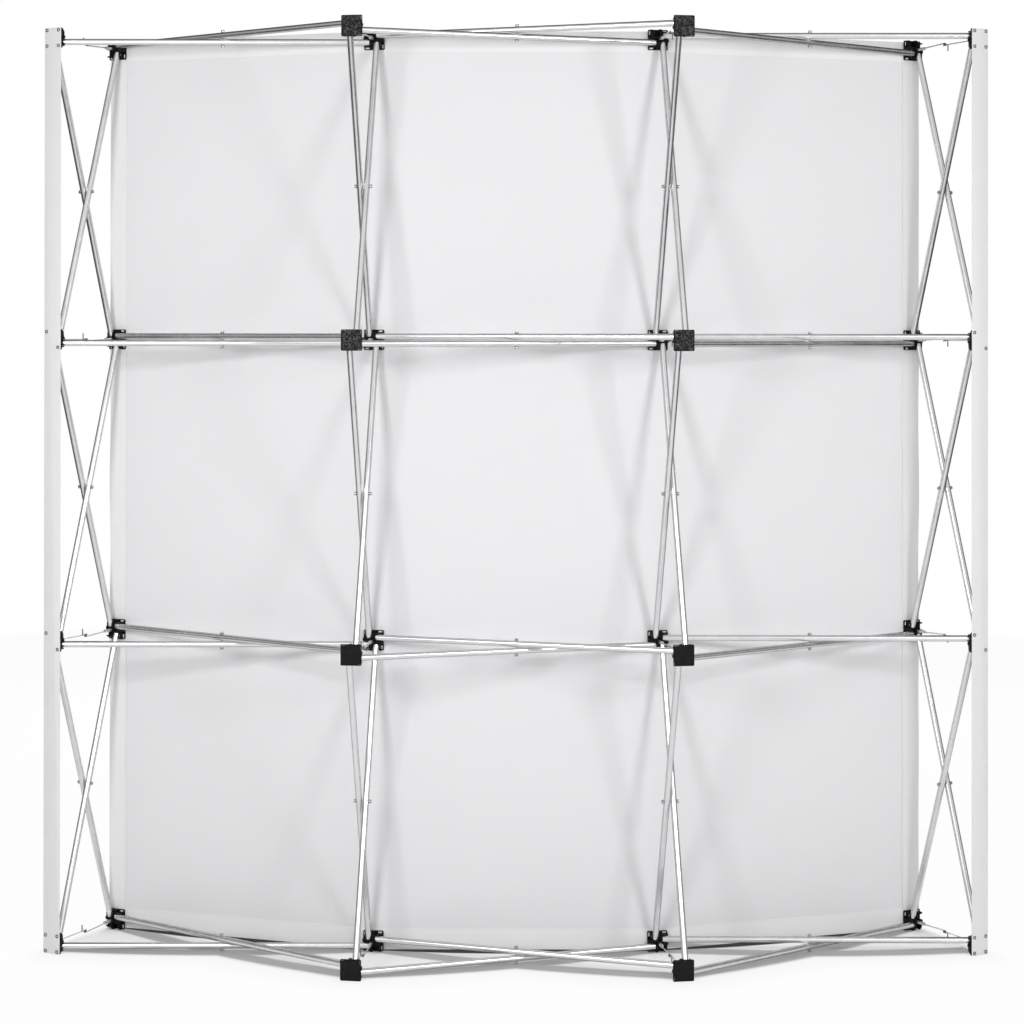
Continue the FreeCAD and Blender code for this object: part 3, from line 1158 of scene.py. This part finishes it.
@dataclass
class LockingArms:
    """The front arms with their hooks, and the rear arms with their cross pins and tabs."""

    lattice: Lattice
    rod_coat: Coat
    end_coat: Coat
    sleeve_side: float = 0.0065
    sleeve_rim: float = 0.0008
    eye_radius: float = 0.00155
    front_sleeve: float = 0.030
    rear_sleeve: float = 0.009
    front_reach: float = 0.11169
    rear_reach: float = 0.10731
    rod_step: float = 0.0019
    rod_sides: int = 14
    front_rod: float = 0.0017
    rear_rod: float = 0.0015
    knee_length: float = 0.004
    knee_drop: float = 0.0001
    hook_line: float = 0.0038
    hook_turn: float = 128.0
    hook_steps: int = 16
    weld: float = 0.00002
    cross_pin: float = 0.002
    cross_reach: float = 0.0052
    tab_length: float = 0.016
    tab_step: float = 0.0075
    rod_angle: float = 50.0
    sleeve_edge: Round = Round(0.0005)
    cross_edge: Round = Round(0.0005, 2, 60.0)
    tab_edge: Round = Round(0.0007, 3, 60.0)

    def beside(self, x: float, z: float = 0.0) -> Vector:
        """A point beside the sleeve's middle, in the plane of the arm's rod."""
        return Vector((x, -self.rod_step, z))

    def sleeve(self, length: float) -> Piece:
        """The square sleeve about the pin, with a rounded end.

        Args:
            length: From the pin to its far end.

        Returns:
            The sleeve, in the arm's axes, and so are the parts below.
        """
        half = self.sleeve_side / 2
        part = block((-half, -half, -half), (length, half, half))

        def is_at_pin(start: Vector, end: Vector) -> bool:
            """Whether an edge runs along the pin at the sleeve's near end."""
            along_pin = abs(start.x - end.x) < TINY and abs(start.z - end.z) < TINY
            return along_pin and start.x < 0.0

        round_edges(part, half * FULL_ROUND, segments=5, chosen=is_at_pin)
        push_face(part, X, self.sleeve_rim, self.sleeve_rim)
        soften(part, self.sleeve_edge)
        reach = Y * self.sleeve_side
        carve(part, rod(-reach, reach, self.eye_radius, sides=16), Cut.REMOVE)
        smooth(part)
        return part

    def bar(self, start: Vector, end: Vector, radius: float) -> Piece:
        """One run of an arm's rod.

        Args:
            start: Centre of its first end.
            end: Centre of its last end.
            radius: Its radius.

        Returns:
            The run.
        """
        part = rod(start, end, radius, self.rod_sides)
        smooth(part, self.rod_angle)
        return part

    def hook(self) -> Piece:
        """The curl at the end of the front rod, spun about the cross pin both ways.

        Returns:
            The hook.
        """
        part = add(
            bpy.ops.mesh.primitive_circle_add, vertices=self.rod_sides, radius=self.front_rod,
            fill_type="NGON", location=self.beside(self.front_reach, self.hook_line),
            rotation=(0.0, math.pi / 2, 0.0),
        )
        with editing(part):
            bpy.ops.mesh.spin(
                steps=self.hook_steps, angle=math.radians(self.hook_turn),
                center=self.beside(self.front_reach), axis=Y,
            )
        middle = Matrix.Translation(X * self.front_reach)
        back = copy_at(part, middle @ Matrix.Scale(-1.0, 4, X) @ middle.inverted())
        modify(part, "WELD", merge_threshold=self.weld)
        part = merge([part, back])
        with editing(part):
            bpy.ops.mesh.remove_doubles(threshold=self.weld)
            bpy.ops.mesh.normals_make_consistent(inside=False)
        smooth(part, self.rod_angle)
        return part

    def front_arm(self) -> Piece:
        """The sleeve of the front arm and its rod, with a knee before the hook.

        Returns:
            The front arm.
        """
        start = self.beside(self.front_sleeve - self.sleeve_side)
        knee = self.beside(self.front_reach - self.knee_length, self.hook_line - self.knee_drop)
        end = self.beside(self.front_reach, self.hook_line)
        runs = [self.bar(start, knee, self.front_rod), self.bar(knee, end, self.front_rod)]
        return merge([self.sleeve(self.front_sleeve), *runs])

    def rear_arm(self) -> Piece:
        """The sleeve of the rear arm and its straight rod.

        Returns:
            The rear arm.
        """
        start = self.beside(self.rear_sleeve - self.rear_rod)
        run = self.bar(start, self.beside(self.rear_reach), self.rear_rod)
        return merge([self.sleeve(self.rear_sleeve), run])

    def tab(self) -> Piece:
        """The end of the rear arm.

        Returns:
            The cross pin and the finger tab.
        """
        start = self.beside(self.rear_reach) - Y * self.rear_rod
        end = Vector((self.rear_reach, self.cross_reach, 0.0))
        cross = rod(start, end, self.cross_pin, sides=16)
        soften(cross, self.cross_edge)
        foot = self.beside(self.rear_reach - self.tab_step)
        tab = rod(foot, foot - UP * self.tab_length, self.rear_rod, self.rod_sides)
        soften(tab, self.tab_edge)
        return merge([cross, tab])

    def make(self) -> None:
        """Sets an arm at each hub."""
        rods = {Side.FRONT: self.front_arm(), Side.REAR: self.rear_arm()}
        ends = {Side.FRONT: self.hook(), Side.REAR: self.tab()}
        kinds = (("steel", rods, self.rod_coat), ("end_of", ends, self.end_coat))
        for station in self.lattice.stations.values():
            node = f"{station.side.value}_arm_column_{station.column + 1}_level_{station.level + 1}"
            place = station.arm_frame(self.lattice.turned_over(station.column))
            for kind, masters, coat in kinds:
                stamp(f"{kind}_{node}", masters[station.side], [place], coat, node, body=node)
        discard(*rods.values(), *ends.values())


@dataclass
class HookPads:
    """The hook pads on the outer faces of the hubs: large at the rear, small behind the panel."""

    lattice: Lattice
    coat: Coat
    side: float = 0.0456
    front_side: float = 0.030
    top: float = -0.018
    bottom: float = -0.020
    corner: float = 0.0042
    dimple_at: float = 0.0185
    dimple_radius: float = 0.0017
    dimple_depth: float = 0.0011
    edge: Round = Round(0.0005, 2, 50.0)

    def pad(self, side: float, dimples: Iterable[Pair] = ()) -> Piece:
        """A square pad with rounded corners.

        Args:
            side: Its side.
            dimples: Where it has a dimple over a fastener of the plate.

        Returns:
            The pad, in its hub's axes.
        """
        half = side / 2
        pad = block((-half, -half, self.bottom), (half, half, self.top))
        round_edges(pad, self.corner, segments=5)
        for x, y in dimples:
            start = Vector((x, y, self.bottom - self.dimple_depth))
            end = Vector((x, y, self.bottom + self.dimple_depth))
            carve(pad, rod(start, end, self.dimple_radius, sides=16), Cut.REMOVE)
        soften(pad, self.edge)
        return pad

    def make(self) -> None:
        """Sets the pads on the hubs."""
        columns = range(self.lattice.columns)
        dimples = product((-self.dimple_at, self.dimple_at), repeat=2)
        for side, on_columns, master in (
            (Side.REAR, columns[1:-1], self.pad(self.side, dimples)),
            (Side.FRONT, columns, self.pad(self.front_side)),
        ):
            places = self.lattice.hub_frames(side, on_columns)
            stamp(f"hook_{side.value}_pads", master, places, self.coat, f"{side.value}_pads")
            discard(master)


@dataclass
class EndStrips:
    """The pale strips down the outer rear columns, riveted to their hubs."""

    lattice: Lattice
    strip_coat: Coat
    rim_coat: Coat
    width: float = 0.048
    corner: float = 0.0022
    top: float = -0.018
    bottom: float = -0.020
    rivet_at: Pair = (0.0171, 0.0191)
    rivet_radius: float = 0.0041
    rim_proud: float = 0.0013
    rim_depth: float = 0.0011
    bore: float = 0.0024
    dome_gap: float = 0.0003
    dome_proud: float = 0.0007
    strip_edge: Round = Round(0.0004, 2, 50.0)
    dome_edge: Round = Round(0.0006, 3, 50.0)

    def eyelet(self) -> Piece:
        """The proud rim of a rivet head.

        Returns:
            The rim, which looks along -Z.
        """
        foot = UP * (self.bottom - self.rim_proud)
        rim = rod(foot, UP * self.top, self.rivet_radius, sides=24)
        push_face(rim, -UP, self.rivet_radius - self.bore, self.rim_depth)
        soften(rim, self.strip_edge)
        return rim

    def button(self) -> Piece:
        """The light dome in the middle of a rivet head.

        Returns:
            The dome, which looks along -Z.
        """
        radius = self.bore - self.dome_gap
        dome = rod(UP * (self.bottom - self.dome_proud), UP * self.top, radius, sides=20)
        soften(dome, self.dome_edge)
        return dome

    def strip(self, name: str, hubs: list[Matrix]) -> None:
        """Sets one strip.

        Args:
            name: Its CAD node.
            hubs: The axes of its hubs, from the lowest up.
        """
        half, hub_half = self.width / 2, HubMoulding().side / 2
        height = hubs[-1].translation.z - hubs[0].translation.z
        strip = block((-half, -hub_half, self.bottom), (half, height + hub_half, self.top))
        round_edges(strip, self.corner, segments=4)
        soften(strip, self.strip_edge)
        strip.data.transform(hubs[0])
        dress(strip, f"pale_{name}", self.strip_coat, name)

    def rivet_places(self, hubs: list[Matrix]) -> Iterator[Matrix]:
        """Lays out one strip's rivets: four on each end hub and two on each of the others.

        Args:
            hubs: The axes of its hubs, from the lowest up.

        Yields:
            The place of each rivet.
        """
        x, y = self.rivet_at
        for hub in hubs:
            corners = [(-1, 1), (1, -1)]
            if hub in (hubs[0], hubs[-1]):
                corners += [(1, 1), (-1, -1)]
            for across, upward in corners:
                yield hub @ Matrix.Translation((-across * x, upward * y, 0.0))

    def make(self) -> None:
        """Sets both strips and their rivets."""
        places = []
        for name, column in (("left_end_strip", 0), ("right_end_strip", self.lattice.columns - 1)):
            hubs = self.lattice.hub_frames(Side.REAR, [column])
            self.strip(name, hubs)
            places += self.rivet_places(hubs)
        eyelet, button = self.eyelet(), self.button()
        stamp("strip_rivets", eyelet, places, self.rim_coat)
        stamp("rivet_domes", button, places, self.strip_coat)
        discard(eyelet, button)


# ---- the panel


def swell(gap: float, width: float) -> float:
    """A smooth swelling, one at no gap and nearly nought at twice its width."""
    return math.exp(-((gap / width) ** 2))


@dataclass
class Panel:
    """The stretched cloth over the front hubs, with its loop border and patches."""

    lattice: Lattice
    cloth: Coat
    tape: Coat
    pad_face: float = 0.020
    pad_side: float = 0.049
    border_width: float = 0.050
    border_thickness: float = 0.001
    tape_share: float = 0.9
    cloth_thickness: float = 0.0007
    lift: float = 0.004
    long_steps: int = 150
    pull: float = 0.0016
    hold: float = 0.05
    ridge: float = 0.16
    ridge_share: float = 1.4
    half_bay: float = 0.3675
    calm_edge: float = 0.12
    least_pull: float = 0.2
    waves: tuple[tuple[float, ...], ...] = ((9.0, 21.0, 0.0, 0.35), (17.0, -13.0, 1.3, 0.25))
    tuft_play: float = 0.0002
    tuft_drop: float = 0.0007
    tuft_corner: float = 0.95
    tuft_edge: Round = Round(0.0009, 3, 60.0)

    def __post_init__(self) -> None:
        """Lays out the plan line of the panel at the face of the pads."""
        columns, levels = range(self.lattice.columns), range(self.lattice.levels)
        self.line: list[tuple[float, Vector, Vector]] = []
        reach = 0.0
        for column in columns:
            station = self.lattice.at(column, 0)
            wide = self.border_width if column in (columns[0], columns[-1]) else self.pad_side
            for way in (-1, 1):
                spot = station.pivot + station.along * (way * wide / 2)
                spot.z = 0.0
                if self.line:
                    reach += (spot - self.line[-1][1]).length
                self.line.append((reach, spot, -station.outward))
        self.length = reach
        self.hub_levels = [self.lattice.at(0, level).pivot.z for level in levels]
        self.hub_reaches = [(self.line[2 * k][0] + self.line[2 * k + 1][0]) / 2 for k in columns]
        beyond = HubMoulding().side / 2 - self.lift
        self.low, self.high = self.hub_levels[0] - beyond, self.hub_levels[-1] + beyond

    def slack(self, reach: float, height: float) -> float:
        """How far the cloth lies off its plan line, towards its front.

        It is held at the pads, stands in soft ridges over the columns, and shows faint pulls that
        die down towards its lower and upper edge.

        Args:
            reach: Distance along the plan line.
            height: Height over the ground.

        Returns:
            The distance.
        """
        column_gap = min(abs(reach - place) for place in self.hub_reaches)
        level_gap = min(abs(height - place) for place in self.hub_levels)
        held = swell(column_gap, self.hold) * swell(level_gap, self.hold)
        bow = math.sin(math.pi * min(1.0, level_gap / self.half_bay)) ** 2
        ridge = swell(column_gap, self.ridge) * bow
        calm = min(1.0, min(height - self.low, self.high - height) / self.calm_edge)
        pulls = sum(
            math.sin(reach * across + height * upward + phase) * share
            for across, upward, phase, share in self.waves
        )
        off_line = ridge * self.ridge_share + pulls * max(self.least_pull, calm)
        return self.pull * (1.0 - held) * off_line

    def spot(self, reach: float, height: float, face: float) -> Vector:
        """A point of the panel.

        Args:
            reach: Distance along the plan line.
            height: Height over the ground.
            face: Distance from the pivot plane of the front hubs to the wanted face.

        Returns:
            The point.
        """
        last_run = len(self.line) - 2
        run = next((k for k in range(last_run) if reach <= self.line[k + 1][0]), last_run)
        (start, first, first_in), (end, last, last_in) = self.line[run:run + 2]
        share = min(1.0, max(0.0, (reach - start) / (end - start)))
        inward = first_in.lerp(last_in, share).normalized()
        return first.lerp(last, share) + inward * (face + self.slack(reach, height)) + UP * height

    def patch(
        self, reaches: Pair, heights: Pair, steps: tuple[int, int], face: float,
        thickness: float, lengthwise: bool = True,
    ) -> Piece:
        """A patch of cloth that follows the panel, with its UV map in metres.

        Args:
            reaches: From where to where along the panel.
            heights: From where to where up it.
            steps: How many faces each way.
            face: Distance of its face from the pivot plane.
            thickness: Its thickness behind that face.
            lengthwise: Whether the map's first number runs along the panel and not up it.

        Returns:
            The patch.
        """
        columns, rows = steps
        piece = add(
            bpy.ops.mesh.primitive_grid_add, x_subdivisions=columns, y_subdivisions=rows, size=2.0
        )
        wide, tall = reaches[1] - reaches[0], heights[1] - heights[0]
        flat = []
        for vertex in piece.data.vertices:
            across = (vertex.co.x + 1.0) / 2 * wide
            upward = (vertex.co.y + 1.0) / 2 * tall
            flat.append((across, upward) if lengthwise else (upward, across))
            vertex.co = self.spot(reaches[0] + across, heights[0] + upward, face)
        for loop, mapped in zip(piece.data.loops, piece.data.uv_layers.active.data):
            mapped.uv = flat[loop.vertex_index]
        modify(piece, "SOLIDIFY", thickness=thickness, offset=1.0, use_rim=True)
        smooth(piece, 60.0)
        return piece

    def sewn(self, name: str, node: str, patches: list[tuple]) -> Piece:
        """Pieces of tape sewn to the panel.

        Args:
            name: Name of the piece that they make.
            node: The CAD node that it stands for.
            patches: The reaches, heights, steps and direction of each.

        Returns:
            The piece.
        """
        thickness = self.border_thickness * self.tape_share
        parts = [
            self.patch(reaches, heights, steps, self.pad_face, thickness, lengthwise)
            for reaches, heights, steps, lengthwise in patches
        ]
        return dress(merge(parts), name, self.tape, node)

    def border(self) -> Piece:
        """The tape round the cloth: whole at its lower and upper edge, and between them.

        Returns:
            The border.
        """
        left, right, low, high, wide = 0.0, self.length, self.low, self.high, self.border_width
        flat, upright = (self.long_steps, 4), (4, self.long_steps)
        between = (low + wide, high - wide)
        return self.sewn("sewn_border", "loop_border", [
            ((left, right), (low, low + wide), flat, True),
            ((left, right), (high - wide, high), flat, True),
            ((left, left + wide), between, upright, False),
            ((right - wide, right), between, upright, False),
        ])

    def squares(self) -> Piece:
        """The patches of tape on the pads of the inner hubs.

        Returns:
            The patches, as one piece.
        """
        half = self.border_width / 2
        return self.sewn("sewn_patches", "loop_patches", [
            ((middle - half, middle + half), (height - half, height + half), (8, 8), True)
            for middle, height in product(self.hub_reaches[1:-1], self.hub_levels[1:-1])
        ])

    def tufts(self) -> Piece:
        """The tape that swells into the holes of the front hubs.

        Returns:
            The piece, with its UV map in metres.
        """
        hub = HubMoulding()
        foot = -self.pad_face - self.border_thickness / 2
        master = hub.plug(foot, hub.plate_face - self.tuft_drop, self.tuft_play)
        wide, tall = hub.hole_reach
        for mapped in master.data.uv_layers.active.data:
            mapped.uv = mapped.uv * (2 * wide)
        round_edges(master, (tall - self.tuft_play) * self.tuft_corner, segments=4)
        soften(master, self.tuft_edge)
        hubs = self.lattice.hub_frames(Side.FRONT, range(self.lattice.columns))
        places = [place @ turn for place, turn in product(hubs, QUARTERS)]
        piece = stamp("tape_tufts", master, places, self.tape)
        discard(master)
        return piece

    def make(self) -> None:
        """Builds the cloth, its border, its patches and the swellings of its tape."""
        cloth = self.patch(
            (0.0, self.length), (self.low, self.high), (self.long_steps, self.long_steps),
            self.pad_face + self.border_thickness, self.cloth_thickness,
        )
        dress(cloth, "stretched_panel", self.cloth, "fabric_panel")
        self.border()
        self.squares()
        self.tufts()


# ---- the studio


@dataclass(frozen=True)
class Lamp:
    """A soft square lamp that looks at the middle of the wall: its power is in watts."""

    name: str
    place: Triple
    power: float
    size: float

    def make(self) -> None:
        """Sets the lamp."""
        aim = (UP - Vector(self.place)).to_track_quat("-Z", "Y").to_euler()
        bpy.ops.object.light_add(type="AREA", location=self.place, rotation=aim)
        lamp = bpy.context.object
        lamp.name = self.name
        lamp.data.energy = self.power
        lamp.data.shape = "SQUARE"
        lamp.data.size = self.size
        lamp.visible_camera = False


@dataclass
class Studio:
    """A plain white studio: floor, world, lamps and the camera at the photograph's angle."""

    floor_reach: float = 30.0
    floor_drop: float = 0.0004
    floor_colour: float = 0.93
    near_white: float = 0.94
    curve_centre: float = 2.2519
    curve_radius: float = 2.3903
    bay_turn: float = math.radians(17.7)
    hub_step: float = 0.1175
    panel_chord: float = 2.224
    # the colour of the painted shadow on the floor
    panel_shade: float = 0.07
    foot_edge: Pair = (-0.004, 0.012)
    soft_edge: Pair = (0.01, 0.15)
    soft_share: float = 0.2
    bay_end: Pair = (1.5, 1.53)
    side_edge: Pair = (1.51, 1.57)
    # the painted shadow under the tubes: where it lies, its edges and how dark it is
    band_middle: float = -0.033
    band_edge: Pair = (0.020, 0.036)
    band_shade: float = 0.6
    # the painted shadow along the foot of the panel: its bulge mid-bay and its edges
    foot_shadow_bulge: float = 0.030
    foot_shadow_edge: Pair = (-0.004, 0.004)
    foot_shadow_fade: Pair = (0.012, 0.035)
    filled: float = 0.3
    rear_edge: Pair = (0.12, 0.34)
    foot_width: Pair = (1.12, 1.24)
    fade: Pair = (3.0, 4.6)
    world_level: float = 0.50
    flag_level: float = 0.08
    flag_edge: Pair = (-0.30, 0.88)
    roof_level: float = 0.55
    roof_edge: Pair = (0.35, 0.95)
    flag_reach: Pair = (1.5, 3.0)
    mirrored_floor: float = 0.5
    lamps: tuple[Lamp, ...] = (
        Lamp("lamp_left", (-1.54, -2.96, 2.05), 40.5, 0.65),
        Lamp("lamp_right", (2.32, -2.96, 2.05), 38.5, 0.65),
        Lamp("lamp_beyond", (0.0, 4.2, 2.2), 80.0, 3.0),
    )
    sensor: float = 36.0
    focal: float = 81.4
    camera_place: Triple = (-0.0909, -5.649, 1.5104)
    camera_turn: Triple = (90.22, -0.06, 0.08)
    camera_shift: Pair = (0.0356, -0.1829)

    def floor_material(self) -> bpy.types.Material:
        """A floor that is white by itself, and matt where the wall's shadow falls.

        Round the wall it takes real shadows. Under the tubes and along the foot of the panel a
        painted shadow darkens its colour, because the soft lamps alone leave it too pale.
        Reflections see less of the floor.

        Returns:
            The material.
        """
        material = bpy.data.materials.new("studio_floor")
        graph = Graph(material)
        white = graph.node("Emission", {"Color": shade(1.0), "Strength": 1.0})
        seen, glossy = graph.rays()
        x, y, _ = graph.parts(graph.place())
        flagged = glossy * x.size().step(*self.flag_reach)
        seen = seen.most((glossy - flagged) * self.mirrored_floor)
        depth = self.curve_centre - y
        reach = (x * x + depth * depth) ** 0.5
        bays = x.angle(depth) / self.bay_turn
        off_middle = (bays + 0.5).fraction() - 0.5
        to_hub = off_middle.size() * 2.0
        spread = to_hub * self.hub_step
        outer_tube = reach - self.curve_radius - spread
        inner_tube = reach - self.curve_radius + spread
        # painted shadow: a darker band of floor colour under the outer and inner tubes
        off_outer = (outer_tube - self.band_middle).size()
        off_inner = (inner_tube - self.band_middle).size()
        painted_tube_shadow = (1.0 - off_outer.least(off_inner).step(*self.band_edge)) * self.band_shade
        behind = self.panel_chord - reach * (off_middle * self.bay_turn).cosine()
        # painted shadow: a dark line of floor colour along the foot of the panel, widest mid-bay
        gap = (1.0 - to_hub * to_hub) * self.foot_shadow_bulge
        painted_foot_shadow = (behind + gap).step(*self.foot_shadow_edge) * (1.0 - behind.step(*self.foot_shadow_fade))
        shaded = painted_foot_shadow.most(painted_tube_shadow) * (1.0 - bays.size().step(*self.bay_end))
        # the floor's colour goes dark where the painted shadow lies, and far to the sides for
        # glossy rays
        colour = graph.blend(
            shaded.most(flagged), shade(self.floor_colour), shade(self.panel_shade)
        )
        matt = graph.node("BsdfDiffuse", {"Color": colour})
        ahead = outer_tube.step(*self.foot_edge) * (1.0 - self.soft_share)
        ahead = ahead + outer_tube.step(*self.soft_edge) * self.soft_share
        off_foot = ahead.most(behind.step(*self.rear_edge))
        off_foot = off_foot.most(bays.size().step(*self.side_edge))
        off_foot = off_foot.most((1.0 - shaded) * self.filled)
        near = off_foot.most(x.size().step(*self.foot_width)) * self.near_white
        share = seen * near.most(reach.step(*self.fade))
        mixed = graph.node("MixShader", {0: share, 1: matt.outputs[0], 2: white.outputs[0]})
        graph.node("OutputMaterial", {"Surface": mixed.outputs[0]})
        return material

    def floor(self) -> None:
        """The floor, just under the wall."""
        floor = add(
            bpy.ops.mesh.primitive_plane_add, size=2 * self.floor_reach,
            location=UP * -self.floor_drop,
        )
        floor.name = "studio_floor"
        floor.data.materials.append(self.floor_material())

    def world(self) -> None:
        """The world: white where the camera sees it, and a plain level as light.

        In reflections it is dark behind the camera and dimmer overhead, like a room with flags.
        """
        world = bpy.data.worlds.new("studio")
        bpy.context.scene.world = world
        graph = Graph(world)
        seen, glossy = graph.rays()
        x, y, z = graph.parts(graph.place("Generated"))
        ahead = (0.0 - y) / (x * x + y * y + 0.0001) ** 0.5
        beside = ahead.step(*self.flag_edge) * (1.0 - self.flag_level) + self.flag_level
        above = 1.0 - z.step(*self.roof_edge) * (1.0 - self.roof_level)
        level = seen.most(beside * above * glossy).most((1.0 - glossy) * self.world_level)
        back = graph.node("Background", {"Color": shade(1.0), "Strength": level})
        graph.node("OutputWorld", {"Surface": back.outputs[0]})

    def camera(self) -> None:
        """The camera of the photograph."""
        turn = [math.radians(angle) for angle in self.camera_turn]
        bpy.ops.object.camera_add(location=self.camera_place, rotation=turn)
        camera = bpy.context.object
        camera.name = "studio_camera"
        camera.data.sensor_width = self.sensor
        camera.data.lens = self.focal
        camera.data.shift_x, camera.data.shift_y = self.camera_shift
        bpy.context.scene.camera = camera

    def make(self) -> None:
        """Builds the studio."""
        bpy.context.scene.view_settings.view_transform = "Standard"
        self.floor()
        self.world()
        for lamp in self.lamps:
            lamp.make()
        self.camera()


def main() -> None:
    """Builds the wall and the studio."""
    logging.basicConfig(level=logging.INFO, format="%(message)s")
    Studio().make()
    lattice = Lattice()
    rivet_steel = BareSteel("rivet_steel", "rivet", 0.45, 0.24).make()
    dark_steel = BareSteel("dark_steel", "rivet", 0.045, 0.45).make()
    arm_steel = BareSteel("arm_steel", "arm", 0.66, 0.28).make()
    # a darker copy of the arm steel for the hooks, cross pins and tabs: painted shade for thin wire
    # ends in shadow
    hook_steel_painted_shade = BareSteel("hook_steel_painted_shade", "arm", 0.22, 0.38).make()
    metalwork = Frame(lattice, MouldedHub().make(), DrawnTube().make(), rivet_steel)
    metalwork.hubs()
    metalwork.tubes()
    metalwork.rivets()
    metalwork.pins()
    LockingArms(lattice, arm_steel, hook_steel_painted_shade).make()
    HookPads(lattice, HookPile().make()).make()
    EndStrips(lattice, StripPlastic().make(), dark_steel).make()
    Panel(lattice, PanelCloth().make(), LoopTape().make()).make()


if __name__ == "__main__":
    main()
